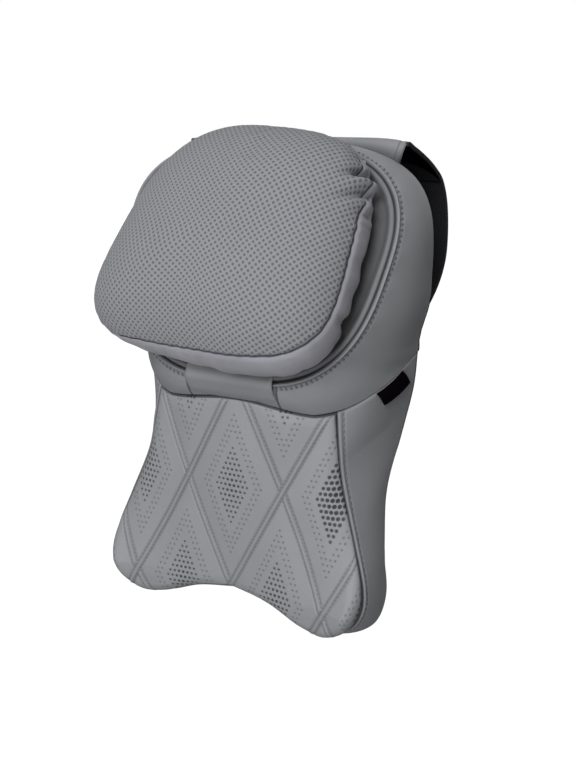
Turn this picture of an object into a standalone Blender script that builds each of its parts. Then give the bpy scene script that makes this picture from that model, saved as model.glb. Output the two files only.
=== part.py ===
"""A car neck pillow that straps round a seat's headrest.

A leather covered head block carries a small soft pillow on its reclined front.
A quilted neck section hangs below it and thins towards two lobes.
A hood of leather and an elastic band behind the block make the loop that the headrest fills.

Metres, +X to the sitter's left as seen from the front, +Y back into the seat, +Z up.
The origin is the middle of the flat back face, where the block lies against the headrest.
"""
import math

import bmesh
import bpy
import numpy as np
from mathutils import Matrix, Vector

# Clearances and cover thicknesses
GAP = 0.0003
LEATHER = 0.0018
BACK_CLOTH = 0.0015
FOAM_CLEARANCE = 0.0020
SHARPEST = 3.0

# Where the rows of points fall
REAR_ANGLE = math.radians(-32.0)
CORNER_RING_ANGLE = math.radians(-50.0)
LOWEST_ANGLE = math.radians(-90.0)
GUSSET_STEPS = 5
LOOP_STEPS = 2
LOOP_COLUMNS = 7
NECK_STEPS = 2
NECK_SIDE_STEPS = 4
NECK_FRONT_ROWS = (0.45, 0.84, 0.94, 1.0)
NECK_BACK_ROWS = (0.35, 0.7, 1.0)
GATHER_COLUMN_COUNT = 25
PILLOW_COLUMN_COUNT = 32
FIRST_TURN = 0.25
FIRST_FILL_TURN = 0.30

# Head block: the ring seam round its reclined front panel
RING_Y = -0.0814
RING_RECLINE = 0.40
RING_HALF_WIDTH = 0.128
RING_HALF_HEIGHT = 0.100
RING_CENTRE_Z = 0.002
RING_UPPER_POWER = 2.6
RING_LOWER_POWER = 3.0
RING_TAPER = 0.152
PANEL_CROWN = 0.003
PIPING_RADIUS = 0.0012
GUSSET_BULGE = 0.09
CROWN_POWER = 2.5
REAR_FOAM_SHARE = 0.93

# Head block: its flat back and the seam where the neck section is sewn on
BACK_HALF_WIDTH = 0.146
BACK_HALF_HEIGHT = 0.108
BACK_CENTRE_Z = -0.010
BACK_POWER = 3.4
BACK_Y = -(BACK_CLOTH + GAP)
SEAM_HALF_WIDTH = 0.132
SEAM_DEPTH = 0.109
SEAM_POWER = 2.6
SEAM_REAR_Z = -0.085
SEAM_SLOPE = 0.40
SEAM_SAG = 0.0034
SEAM_SAG_DEPTHS = (0.062, 0.092)
SEAM_FRONT_RISE = 0.0135
SEAM_RISE_HALF_WIDTH = 0.075
SEAM_FLARE = 0.0045
SEAM_FLARE_DEPTH = 0.035
# Height, and how far the flat back's side edge is moved outwards there
REAR_SIDE = (
    (-0.030, 0.0),
    (-0.045, -0.0015),
    (-0.055, -0.0030),
    (-0.065, -0.0035),
    (-0.075, -0.0015),
    (-0.085, 0.0045),
)

# Neck section
NECK_CENTRE_Z = -0.205
NECK_PANEL = 0.0025
NECK_FOAM_INSET = 0.0062
CORNER_ANGLE = math.radians(44.5)
SIDE_SEAM_FADE = 3.0
NECK_SIDE_BULGE = 0.003
SIDE_PROFILE_HALF_WIDTH = 0.1
BACK_PROFILE_EASE = 0.008
ROLL_START = 0.80
FRONT_RIM_INSET = 0.00273
BACK_RIM_INSET = 0.0055
NECK_FRONT_OUTLINE = (
    (0.0965, -0.0970, -0.155),
    (0.1030, -0.1010, -0.190),
    (0.1195, -0.1120, -0.236),
    (0.1320, -0.1210, -0.273),
    (0.1315, -0.1220, -0.298),
    (0.1195, -0.1190, -0.3200),
    (0.0975, -0.1170, -0.3320),
    (0.0720, -0.1190, -0.3280),
    (0.0380, -0.1220, -0.313),
    (0.0000, -0.1220, -0.305),
)
NECK_REAR_OUTLINE = (
    (0.1345, -0.118),
    (0.1270, -0.168),
    (0.1240, -0.214),
    (0.1335, -0.268),
    (0.1385, -0.306),
    (0.1275, -0.338),
    (0.1000, -0.348),
    (0.0720, -0.336),
    (0.0380, -0.318),
    (0.0000, -0.310),
)
NECK_BACK_PROFILE = (
    (-0.085, -0.0018),
    (-0.130, -0.0018),
    (-0.168, -0.0100),
    (-0.214, -0.0400),
    (-0.268, -0.0680),
    (-0.310, -0.0740),
    (-0.355, -0.0760),
)
NECK_FRONT_PROFILE = (
    (-0.115, -0.1100),
    (-0.199, -0.1170),
    (-0.307, -0.1270),
)
NECK_SIDE_PROFILE = (
    (-0.115, 0.0180),
    (-0.155, 0.0150),
    (-0.199, 0.0100),
    (-0.236, 0.0040),
    (-0.298, -0.0110),
)

# Quilting: diamonds marked by channels
DIAMOND_HALF_WIDTH = 0.0495
DIAMOND_HALF_HEIGHT = 0.1015
DIAMOND_CENTRE_Z = -0.201
CHANNEL_HALF_WIDTH = 0.0021
CHANNEL_SHOULDER = 0.0040
CHANNEL_DEPTH = 0.0025
FIRST_CHANNEL = -3
LAST_CHANNEL = 1
QUILT_MERGE = 0.0004

# Soft pillow on the front
PILLOW_CENTRE = (0.0035, -0.1005, 0.0146)
PILLOW_RECLINE = math.radians(24.7)
PILLOW_TILT = math.radians(-5.0)
PILLOW_SKEW = 0.15
PILLOW_HALF_WIDTH = 0.111
PILLOW_HALF_HEIGHT = 0.105
PILLOW_POWER = 3.6
PILLOW_TAPER = 0.15
SOFT_CORNER_ANGLE = math.radians(135.0)
SOFT_CORNER_SPREAD = math.radians(22.0)
SOFT_CORNER_SHARE = 0.05
PILLOW_FRONT = 0.060
PILLOW_BACK = 0.0187
PILLOW_CLOTH = 0.0015
KNIT_EDGE = 0.80
REAR_SEAM_TURN = 0.62
SEAM_TURN = 0.022
REAR_SEAM_GAP = 0.008
GATHER_ANGLE = math.radians(38.0)
GATHER_SPREAD = math.radians(30.0)
GATHER_DEPTH = 0.0024
GATHER_COUNT = 36
SPREAD_POWER = 0.78
FRONT_POWER = 0.8
REAR_POWER = 0.6
FILL_GATHER_SHARE = 0.75

# Flap that carries the pillow
FLAP_HALF_WIDTH = 0.045
FLAP_TOP_Z = -0.045
FLAP_LIFT = 0.0008
FLAP_COLUMNS = 5

# Loop for the headrest: the leather hood runs back from the block's top edge, the band returns below
LOOP_HALF_WIDTH = 0.120
LOOP_CLOTH = 0.0022
LINING = 0.0008
LOOP_CROWN = 0.0045
LOOP_CROWN_POWER = 8
HOOD_TOP_Z = 0.100
HOOD_FRONT_Y = 0.0120
HOOD_ROOT = ((0.0, 0.014), (0.0020, 0.004))
HOOD_SPREAD = (0.90, 0.905, 0.935, 0.95, 0.97, 0.985, 1.0)
HOOD_PROFILE = (
    (0.0320, 0.0955),
    (0.0620, 0.0850),
    (0.0850, 0.0745),
    (0.1040, 0.0620),
)
BAND_PROFILE = (
    (0.1230, 0.0400),
    (0.1320, 0.0130),
    (0.1320, -0.0140),
    (0.1210, -0.0330),
    (0.0990, -0.0490),
    (0.0660, -0.0630),
    (0.0300, -0.0730),
)
BAND_FOOT = ((0.0040, -0.0785), (0.0, -0.0840))
LINING_SKIP = 5

# Label on the right-hand seam
TAB_START = math.radians(13.0)
TAB_END = math.radians(28.5)
TAB_DROP = (0.0055, 0.0075, -0.0125)
TAB_THICKNESS = 0.0012
TAB_BELLY = 0.001
TAB_COLUMNS = 6


def clear_scene():
    for item in list(bpy.data.objects):
        bpy.data.objects.remove(item, do_unlink=True)


def collection(name):
    group = bpy.data.collections.new(name)
    bpy.context.scene.collection.children.link(group)
    return group


def material(name, colour, roughness, metallic=0.0):
    mat = bpy.data.materials.new(name)
    mat.use_nodes = True
    shader = mat.node_tree.nodes["Principled BSDF"]
    shader.inputs["Base Color"].default_value = (*colour, 1.0)
    shader.inputs["Roughness"].default_value = roughness
    shader.inputs["Metallic"].default_value = metallic
    return mat


def add_object(name, mesh, mat, group):
    mesh.materials.append(mat)
    mesh.shade_smooth()
    item = bpy.data.objects.new(name, mesh)
    group.objects.link(item)
    return item


def loft(name, rows, closed=True, pole_start=None, pole_end=None):
    """Mesh through rows of points; a pole closes the first or last row to a point."""
    rows = np.asarray(rows)
    count = rows.shape[1]
    verts = [tuple(p) for row in rows for p in row]
    faces = []
    steps = count if closed else count - 1
    for r in range(len(rows) - 1):
        for c in range(steps):
            a = r * count + c
            b = r * count + (c + 1) % count
            faces.append((a, b, b + count, a + count))
    for pole, row, flip in ((pole_start, 0, True), (pole_end, len(rows) - 1, False)):
        if pole is None:
            continue
        verts.append(tuple(pole))
        tip = len(verts) - 1
        for c in range(steps):
            a = row * count + c
            b = row * count + (c + 1) % count
            faces.append((tip, b, a) if flip else (tip, a, b))
    mesh = bpy.data.meshes.new(name)
    mesh.from_pydata(verts, [], faces)
    mesh.update()
    face_out(mesh)
    return mesh


def face_out(mesh):
    bm = bmesh.new()
    bm.from_mesh(mesh)
    bmesh.ops.recalc_face_normals(bm, faces=bm.faces)
    bm.to_mesh(mesh)
    bm.free()


def orient(mesh, direction):
    """Turns an open sheet so that its normals point along direction on the whole."""
    total = sum((Vector(direction(p.center)).dot(p.normal) * p.area for p in mesh.polygons), 0.0)
    if total < 0:
        mesh.flip_normals()


def away_from(point):
    return lambda centre: centre - Vector(point)


def solidify(item, thickness):
    """Gives an open sheet its thickness, inwards from the face that shows."""
    mod = item.modifiers.new("Thickness", "SOLIDIFY")
    mod.thickness = thickness
    mod.offset = -1.0
    mod.use_even_offset = True
    return mod


def open_spline(points, per_span):
    """Smooth open curve through points, Catmull-Rom, with per_span steps a span."""
    pts = np.asarray(points, float)
    padded = np.vstack([2 * pts[0] - pts[1], pts, 2 * pts[-1] - pts[-2]])
    out = []
    for k in range(len(pts) - 1):
        p0, p1, p2, p3 = padded[k:k + 4]
        for t in np.arange(per_span) / per_span:
            out.append(0.5 * (2 * p1 + (p2 - p0) * t + (2 * p0 - 5 * p1 + 4 * p2 - p3) * t ** 2
                              + (3 * p1 - p0 - 3 * p2 + p3) * t ** 3))
    out.append(pts[-1])
    return np.array(out)


def superellipse(angle, half_width, half_height, power):
    """Point at a polar angle on a rounded rectangle about the origin."""
    c, s = np.cos(angle), np.sin(angle)
    r = (np.abs(c / half_width) ** power + np.abs(s / half_height) ** power) ** (-1 / power)
    return r * c, r * s


def ring_plane(z):
    return RING_Y + RING_RECLINE * z


def ring_point(angle):
    power = RING_LOWER_POWER if math.sin(angle) < 0 else RING_UPPER_POWER
    x, z = superellipse(angle, RING_HALF_WIDTH, RING_HALF_HEIGHT, power)
    x = x * (1 + RING_TAPER * z / RING_HALF_HEIGHT)
    z = z + RING_CENTRE_Z
    return np.array([x, ring_plane(z), z])


def seam_point(plan):
    """Point on the seam between head and neck; plan angle 0 is its rear end, 90 degrees its middle."""
    x, depth = superellipse(plan, SEAM_HALF_WIDTH, SEAM_DEPTH, SEAM_POWER)
    rise = SEAM_FRONT_RISE * max(0.0, 1 - (x / SEAM_RISE_HALF_WIDTH) ** 2) * np.sin(plan) ** 2
    t = np.interp(depth, SEAM_SAG_DEPTHS, (0.0, 1.0))
    z = SEAM_REAR_Z - SEAM_SLOPE * depth - SEAM_SAG * t * t * (3 - 2 * t) + rise
    flare = SEAM_FLARE * max(0.0, 1 - depth / SEAM_FLARE_DEPTH) ** 2
    return np.array([x + flare, BACK_Y - depth, z])


def edge_point(angle):
    """Outer edge of the head's gusset, opposite the ring seam's point at the same angle."""
    mirrored = math.cos(angle) < 0
    a = math.atan2(math.sin(angle), abs(math.cos(angle)))
    if a >= REAR_ANGLE:
        low = math.atan2(SEAM_REAR_Z - BACK_CENTRE_Z, SEAM_HALF_WIDTH)
        turn = np.interp(a, (REAR_ANGLE, math.pi / 2), (low, math.pi / 2))
        x, z = superellipse(turn, BACK_HALF_WIDTH, BACK_HALF_HEIGHT, BACK_POWER)
        z += BACK_CENTRE_Z
        point = np.array([x + profile(REAR_SIDE, z), BACK_Y, z])
    else:
        plan = np.interp(-a, (-REAR_ANGLE, -CORNER_RING_ANGLE, math.pi / 2), (0.0, CORNER_ANGLE, math.pi / 2))
        point = seam_point(plan)
    if mirrored:
        point[0] = -point[0]
    return point


HEAD_ANGLES = np.concatenate([
    np.linspace(LOWEST_ANGLE, CORNER_RING_ANGLE, 6)[:-1], np.linspace(CORNER_RING_ANGLE, REAR_ANGLE, 4)[:-1],
    np.linspace(REAR_ANGLE, math.pi / 2, 15)])
HEAD_ANGLES = np.concatenate([HEAD_ANGLES, (math.pi - HEAD_ANGLES[::-1])[1:-1]])


def gusset_rows(angles, steps):
    """Rows from the ring seam to the outer edge, bulged along the local outward normal."""
    rings = np.array([ring_point(a) for a in angles])
    edges = np.array([edge_point(a) for a in angles])
    span = edges - rings
    along = np.roll(rings, -1, 0) - np.roll(rings, 1, 0)
    out = np.cross(along, span)
    out /= np.linalg.norm(out, axis=1)[:, None]
    length = np.linalg.norm(span, axis=1)[:, None]
    sign = np.sign(np.sum(out * (rings - [0, -0.05, 0]), 1))[:, None]
    return [rings + span * v + out * sign * GUSSET_BULGE * length * math.sin(math.pi * v)
            for v in np.linspace(0, 1, steps + 1)]


def panel_rows(angles, steps):
    """Rows of the crowned front panel, from near its middle out to the ring seam."""
    rings = np.array([ring_point(a) for a in angles])
    centre = np.array([0, ring_plane(RING_CENTRE_Z), RING_CENTRE_Z])
    normal = np.array([0, -1, RING_RECLINE]) / math.hypot(1, RING_RECLINE)
    rows = []
    for r in np.linspace(0, 1, steps + 1)[1:]:
        rows.append(centre + (rings - centre) * r + normal * PANEL_CROWN * (1 - r ** CROWN_POWER))
    return rows, centre + normal * PANEL_CROWN


def offset_closed(mesh, distance):
    """Moves the faces of a closed mesh inwards by an even distance."""
    bm = bmesh.new()
    bm.from_mesh(mesh)
    moves = [v.normal * distance * min(v.calc_shell_factor(), SHARPEST) for v in bm.verts]
    for vert, move in zip(bm.verts, moves):
        vert.co -= move
    bm.to_mesh(mesh)
    bm.free()


def offset_path(points, distance):
    """Moves an open path in its Y-Z plane to its left by an even distance, with mitred corners."""
    step = np.diff(points, axis=0)
    side = np.stack([np.zeros(len(step)), -step[:, 2], step[:, 1]], 1)
    side /= np.linalg.norm(side, axis=1)[:, None]
    before = np.vstack([side[:1], side])
    after = np.vstack([side, side[-1:]])
    mean = before + after
    return points + mean * 2 * distance / np.sum(mean * mean, 1)[:, None]


def head_front_panel(group, mat):
    rows, pole = panel_rows(HEAD_ANGLES, 2)
    inset = LEATHER + 2 * GAP
    centre = rows[-1].mean(0)
    spokes = rows[-1] - centre
    length = np.linalg.norm(spokes, axis=1)[:, None]
    rows[-1] = centre + spokes * (1 - inset / length)
    mesh = loft("head_front_panel", rows, pole_start=pole)
    orient(mesh, lambda c: (0, -1, 0))
    item = add_object("head_front_panel", mesh, mat, group)
    solidify(item, LEATHER)


def head_gusset(group, mat):
    mesh = loft("head_gusset", gusset_rows(HEAD_ANGLES, GUSSET_STEPS))
    orient(mesh, away_from((0, -0.05, 0)))
    item = add_object("head_gusset", mesh, mat, group)
    solidify(item, LEATHER)


def tube(name, points, radius, mat, group, cyclic=False):
    curve = bpy.data.curves.new(name, "CURVE")
    curve.dimensions = "3D"
    curve.bevel_depth = radius
    curve.bevel_resolution = 1
    curve.use_fill_caps = True
    spline = curve.splines.new("POLY")
    spline.points.add(len(points) - 1)
    for knot, place in zip(spline.points, points):
        knot.co = (*place, 1.0)
    spline.use_cyclic_u = cyclic
    curve.materials.append(mat)
    item = bpy.data.objects.new(name, curve)
    group.objects.link(item)
    return item


def head_piping(group, mat):
    normal = np.array([0, -1, RING_RECLINE]) / math.hypot(1, RING_RECLINE)
    rings = np.array([ring_point(a) for a in HEAD_ANGLES])
    centre = rings.mean(0)
    spokes = rings - centre
    spokes /= np.linalg.norm(spokes, axis=1)[:, None]
    path = rings - spokes * LEATHER * 0.5 + normal * (PIPING_RADIUS + GAP)
    tube("head_piping", path, PIPING_RADIUS, mat, group, cyclic=True)


def back_loop():
    points = []
    for a in HEAD_ANGLES:
        p = edge_point(a)
        if p[1] < BACK_Y - GAP:
            p = np.array([p[0], BACK_Y, SEAM_REAR_Z])
        points.append(p)
    return np.array(points)


def head_back_panel(group, mat):
    loop = back_loop()
    loop[:, 1] = 0.0
    mesh = loft("head_back_panel", [loop], pole_start=(0, 0, BACK_CENTRE_Z))
    orient(mesh, lambda c: (0, 1, 0))
    item = add_object("head_back_panel", mesh, mat, group)
    solidify(item, BACK_CLOTH)


def head_foam(group, mat):
    angles = HEAD_ANGLES
    front, pole = panel_rows(angles, 3)
    sides = gusset_rows(angles, GUSSET_STEPS)
    middle = np.array([0, BACK_Y, 0])
    rear = middle + (back_loop() - middle) * REAR_FOAM_SHARE
    mesh = loft("head_foam", front[:-1] + sides + [rear], pole_start=pole, pole_end=middle)
    mesh.update()
    offset_closed(mesh, LEATHER + FOAM_CLEARANCE)
    add_object("head_foam", mesh, mat, group)


def profile(table, z):
    """Value of a (height, value) table at z."""
    heights = [row[0] for row in table][::-1]
    values = [row[1] for row in table][::-1]
    return np.interp(z, heights, values)


def neck_back_y(z):
    above = profile(NECK_BACK_PROFILE, z + BACK_PROFILE_EASE)
    below = profile(NECK_BACK_PROFILE, z - BACK_PROFILE_EASE)
    return 0.5 * (above + below)


def neck_front_y(x, z):
    """Front of the neck section before quilting: hollow in the middle low down, full at the lobes."""
    side = profile(NECK_SIDE_PROFILE, z) * (x / SIDE_PROFILE_HALF_WIDTH) ** 2
    return profile(NECK_FRONT_PROFILE, z) + side


def neck_half():
    """Front and rear edges of the neck section from the middle of its top to the notch."""
    plans = np.linspace(math.pi / 2, CORNER_ANGLE, 5)
    top = [seam_point(p) + [0, 0, -GAP * 2] for p in plans]
    widen = seam_point(0.0)[0] / top[-1][0]
    top_rear = [np.array([p[0] * widen, BACK_Y, SEAM_REAR_Z - GAP * 2]) for p in top]
    front = open_spline([top[-1]] + [np.array(p) for p in NECK_FRONT_OUTLINE], NECK_STEPS)
    rear_points = [(top_rear[-1][0], top_rear[-1][2])] + list(NECK_REAR_OUTLINE)
    rear = open_spline(rear_points, NECK_STEPS)
    rear = np.array([[x, neck_back_y(z), z] for x, z in rear])
    return np.vstack([top[:-1], front]), np.vstack([top_rear[:-1], rear]), len(top) - 1


def both_sides(half):
    """Closes a half loop with its mirror image."""
    mirrored = half[::-1][1:-1] * [-1, 1, 1]
    return np.vstack([half, mirrored])


def neck_side_rows(front, rear, corner, steps):
    """Rows from front edge to rear edge; the uppermost column follows the side seam."""
    rows = []
    count = len(front)
    fade = np.clip(1 - (np.arange(count) - corner) / SIDE_SEAM_FADE, 0, 1)
    fade[:corner] = 0
    for v in np.linspace(0, 1, steps + 1):
        row = front * (1 - v) + rear * v
        seam = seam_point(CORNER_ANGLE * (1 - v)) + [0, 0, -GAP * 2]
        straight = front[corner] * (1 - v) + rear[corner] * v
        row = row + (seam - straight)[None, :] * fade[:, None]
        side = row[corner:] - [0, 0, NECK_CENTRE_Z]
        side[:, 1] = 0
        out = side / np.linalg.norm(side, axis=1)[:, None]
        row[corner:] += out * NECK_SIDE_BULGE * math.sin(math.pi * v) * (1 - fade[corner:, None])
        rows.append(row)
    return rows


def neck_front_rows(edge):
    """Rows of the front panel, rolled back to the seam at its rim."""
    rows = []
    middle = np.array([0, NECK_CENTRE_Z])
    rim = neck_front_y(edge[:, 0], edge[:, 2])
    for r in NECK_FRONT_ROWS:
        x = edge[:, 0] * r
        z = middle[1] + (edge[:, 2] - middle[1]) * r
        t = max(0.0, (r - ROLL_START) / (1 - ROLL_START))
        roll = 1 - math.sqrt(max(0.0, 1 - t * t))
        y = neck_front_y(x, z) + (edge[:, 1] - rim) * roll
        rows.append(np.stack([x, y, z], 1))
    pole = (0, neck_front_y(0.0, NECK_CENTRE_Z), NECK_CENTRE_Z)
    return rows, pole


def channel_lines():
    """The quilting lines: unit normal in X and Z, and distance from the middle diamond's centre."""
    slope = np.array([1 / DIAMOND_HALF_WIDTH, 1 / DIAMOND_HALF_HEIGHT])
    size = np.linalg.norm(slope)
    return [(np.array([side * slope[0], slope[1]]) / size, k / size)
            for side in (1, -1) for k in range(FIRST_CHANNEL, LAST_CHANNEL + 1, 2)]


def quilt(mesh):
    """Cuts the panel along both shoulders of every channel, then presses the channels in."""
    bm = bmesh.new()
    bm.from_mesh(mesh)
    lines = channel_lines()
    offsets = (-CHANNEL_HALF_WIDTH - CHANNEL_SHOULDER, -CHANNEL_HALF_WIDTH,
               CHANNEL_HALF_WIDTH, CHANNEL_HALF_WIDTH + CHANNEL_SHOULDER)
    for normal, distance in lines:
        for extra in offsets:
            place = normal * (distance + extra)
            geom = bm.verts[:] + bm.edges[:] + bm.faces[:]
            bmesh.ops.bisect_plane(bm, geom=geom, dist=QUILT_MERGE, plane_no=(normal[0], 0, normal[1]),
                                   plane_co=(place[0], 0, place[1] + DIAMOND_CENTRE_Z))
    for vert in bm.verts:
        flat = np.array([vert.co.x, vert.co.z - DIAMOND_CENTRE_Z])
        nearest = min(abs(flat @ n - d) for n, d in lines)
        t = np.clip((nearest - CHANNEL_HALF_WIDTH) / CHANNEL_SHOULDER, 0, 1)
        vert.co.y += CHANNEL_DEPTH * (1 - t * t * (3 - 2 * t))
    bmesh.ops.remove_doubles(bm, verts=bm.verts, dist=QUILT_MERGE)
    bm.to_mesh(mesh)
    bm.free()


def shrink_rim(row, distance):
    """Moves a closed outline inwards, square to itself as seen from the front."""
    along = np.roll(row, -1, 0) - np.roll(row, 1, 0)
    out = np.stack([along[:, 2], np.zeros(len(row)), -along[:, 0]], 1)
    out /= np.linalg.norm(out, axis=1)[:, None]
    outward = np.sign(np.sum(out * (row - [0, 0, NECK_CENTRE_Z])))
    return row - out * outward * distance


def neck_front_panel(group, mat):
    front, rear, corner = neck_half()
    rows, pole = neck_front_rows(both_sides(front))
    rows[-1] = shrink_rim(rows[-1], FRONT_RIM_INSET)
    mesh = loft("neck_front_panel", rows, pole_start=pole)
    orient(mesh, lambda c: (0, -1, 0))
    quilt(mesh)
    item = add_object("neck_front_panel", mesh, mat, group)
    solidify(item, NECK_PANEL)


def neck_gusset(group, mat):
    front, rear, corner = neck_half()
    rows = neck_side_rows(front, rear, corner, NECK_SIDE_STEPS)
    full = [np.vstack([r[corner:], (r[corner:][::-1] * [-1, 1, 1])[1:]]) for r in rows]
    mesh = loft("neck_gusset", full, closed=False)
    orient(mesh, away_from((0, -0.06, NECK_CENTRE_Z)))
    item = add_object("neck_gusset", mesh, mat, group)
    solidify(item, LEATHER)


def neck_back_rows(edge):
    rows = []
    for r in NECK_BACK_ROWS:
        x = edge[:, 0] * r
        z = NECK_CENTRE_Z + (edge[:, 2] - NECK_CENTRE_Z) * r
        rows.append(np.stack([x, np.array([neck_back_y(v) for v in z]), z], 1))
    return rows, (0, neck_back_y(NECK_CENTRE_Z), NECK_CENTRE_Z)


def neck_back_panel(group, mat):
    front, rear, corner = neck_half()
    rows, pole = neck_back_rows(both_sides(rear))
    rows[-1] = shrink_rim(rows[-1], BACK_RIM_INSET)
    mesh = loft("neck_back_panel", rows, pole_start=pole)
    orient(mesh, lambda c: (0, 1, 0))
    item = add_object("neck_back_panel", mesh, mat, group)
    solidify(item, BACK_CLOTH)


def neck_foam(group, mat):
    front, rear, corner = neck_half()
    rows = neck_side_rows(front, rear, corner, NECK_SIDE_STEPS - 1)
    sides = [both_sides(r) for r in rows]
    face, pole = neck_front_rows(sides[0])
    back, back_pole = neck_back_rows(sides[-1])
    mesh = loft("neck_foam", face[:-1] + sides + back[:-1][::-1], pole_start=pole, pole_end=back_pole)
    mesh.update()
    offset_closed(mesh, NECK_FOAM_INSET)
    add_object("neck_foam", mesh, mat, group)


def pillow_frame():
    """Turns pillow coordinates (across, up, out of the face) into the object's own."""
    lean = Matrix((
        (1, 0, 0),
        (0, math.sin(PILLOW_RECLINE), -math.cos(PILLOW_RECLINE)),
        (0, math.cos(PILLOW_RECLINE), math.sin(PILLOW_RECLINE)),
    )).to_4x4()
    return Matrix.Translation(PILLOW_CENTRE) @ lean @ Matrix.Rotation(PILLOW_TILT, 4, "Z")


GATHER_COLUMNS = np.linspace(GATHER_ANGLE - GATHER_SPREAD, GATHER_ANGLE + GATHER_SPREAD, GATHER_COLUMN_COUNT)
PILLOW_ANGLES = np.concatenate([
    GATHER_COLUMNS, np.linspace(GATHER_COLUMNS[-1], GATHER_COLUMNS[0] + 2 * math.pi, 28)[1:-1]])
PLAIN_ANGLES = np.linspace(0, 2 * math.pi, PILLOW_COLUMN_COUNT, endpoint=False)


def pillow_outline(angle):
    x, y = superellipse(angle, PILLOW_HALF_WIDTH, PILLOW_HALF_HEIGHT, PILLOW_POWER)
    off = (angle - SOFT_CORNER_ANGLE + math.pi) % (2 * math.pi) - math.pi
    pulled = 1 - SOFT_CORNER_SHARE * math.exp(-(off / SOFT_CORNER_SPREAD) ** 2)
    x, y = x * pulled, y * pulled
    return x * (1 - PILLOW_TAPER * y / PILLOW_HALF_HEIGHT) + PILLOW_SKEW * y, y


def gather(angle, strength):
    """Ripple of the cloth where it is drawn together at the upper corner."""
    off = (angle - GATHER_ANGLE + math.pi) % (2 * math.pi) - math.pi
    fade = np.clip(1 - (off / GATHER_SPREAD) ** 2, 0, 1) ** 2
    return GATHER_DEPTH * strength * fade * math.sin(GATHER_COUNT * off)


def pillow_rows(turns, angles, ripple):
    """Rows round the pillow; turn 0 is the front pole, 90 degrees the girth, 180 the back pole."""
    rows = []
    for turn in turns:
        spread = abs(math.sin(turn)) ** SPREAD_POWER
        height = math.cos(turn)
        if height > 0:
            depth = PILLOW_FRONT * height ** FRONT_POWER
        else:
            depth = -PILLOW_BACK * (-height) ** REAR_POWER
        row = []
        for a in angles:
            x, y = pillow_outline(a)
            size = spread + ripple * gather(a, math.sin(turn) ** 6) / math.hypot(x, y)
            row.append((x * size, y * size, depth))
        rows.append(np.array(row))
    return rows


def pillow_piece(name, rows, pole, group, mat):
    mesh = loft(name, rows, pole_start=pole)
    orient(mesh, away_from((0, 0, 0)))
    mesh.transform(pillow_frame())
    item = add_object(name, mesh, mat, group)
    solidify(item, PILLOW_CLOTH)


def pillow_parts(group, knit, suede, wadding):
    """Knit face, suede border round the girth, suede back, and the wadding inside."""
    front_pole = (0, 0, PILLOW_FRONT)
    back_pole = (0, 0, -PILLOW_BACK)
    seam = math.pi / 2 * KNIT_EDGE
    rear = math.pi - REAR_SEAM_TURN
    face = pillow_rows(np.linspace(FIRST_TURN, seam, 5), PILLOW_ANGLES, 1)
    border = pillow_rows(np.linspace(seam + SEAM_TURN, rear - REAR_SEAM_GAP, 4), PILLOW_ANGLES, 1)
    back = pillow_rows(np.array([math.pi - FIRST_TURN, rear + REAR_SEAM_GAP]), PLAIN_ANGLES, 0)
    pillow_piece("pillow_face", face, front_pole, group, knit)
    pillow_piece("pillow_border", border, None, group, suede)
    pillow_piece("pillow_back", back, back_pole, group, suede)
    turns = np.concatenate([np.linspace(FIRST_FILL_TURN, seam, 4), np.linspace(seam, rear, 4)[1:]])
    fill = pillow_rows(turns, PLAIN_ANGLES, 0)
    mesh = loft("pillow_fill", fill, pole_start=front_pole, pole_end=back_pole)
    offset_closed(mesh, PILLOW_CLOTH + FILL_GATHER_SHARE * GATHER_DEPTH)
    mesh.transform(pillow_frame())
    add_object("pillow_fill", mesh, wadding, group)


def pillow_flap(group, mat):
    """Leather flap from the neck seam up over the band and in behind the pillow."""
    angles = LOWEST_ANGLE + np.radians([0.0, 6.0, 12.0])
    sides = [row[0] for row in gusset_rows(angles, 4)]
    front = [row[0] for row in panel_rows(angles, 12)[0]][::-1][1:]
    path = sides[::-1] + [p for p in front if p[2] < FLAP_TOP_Z]
    outer = offset_path(np.array(path), FLAP_LIFT + LEATHER + PIPING_RADIUS * 2)
    columns = np.linspace(-FLAP_HALF_WIDTH, FLAP_HALF_WIDTH, FLAP_COLUMNS)
    mesh = loft("pillow_flap", [outer + [x, 0, 0] for x in columns], closed=False)
    orient(mesh, lambda c: (0, -1, 0))
    item = add_object("pillow_flap", mesh, mat, group)
    solidify(item, LEATHER)


def back_edge_z(x):
    """Height of the block's flat back at x."""
    share = 1 - (abs(x) / BACK_HALF_WIDTH) ** BACK_POWER
    return BACK_CENTRE_Z + BACK_HALF_HEIGHT * share ** (1 / BACK_POWER)


def loop_path(x):
    """Profile of the headrest loop, from the block's top edge round to its lower edge; the hood spreads up to x."""
    crown = LOOP_CROWN * (1 - (x / LOOP_HALF_WIDTH) ** LOOP_CROWN_POWER)
    edge = back_edge_z(x * HOOD_SPREAD[0])
    clear = 2 * GAP
    start = [(clear + y, edge - drop) for y, drop in HOOD_ROOT] + [(HOOD_FRONT_Y, HOOD_TOP_Z + crown)]
    hood = [(y, z + crown * (1 - k / len(HOOD_PROFILE))) for k, (y, z) in enumerate(HOOD_PROFILE)]
    rest = 2 * clear + LOOP_CLOTH
    end = [(rest + y, z) for y, z in BAND_FOOT]
    points = start + hood + list(BAND_PROFILE) + end
    spread = HOOD_SPREAD + (1.0,) * (len(points) - len(HOOD_SPREAD))
    return np.array([(x * s, y, z) for s, (y, z) in zip(spread, points)]), len(start + hood) - 1


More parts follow.
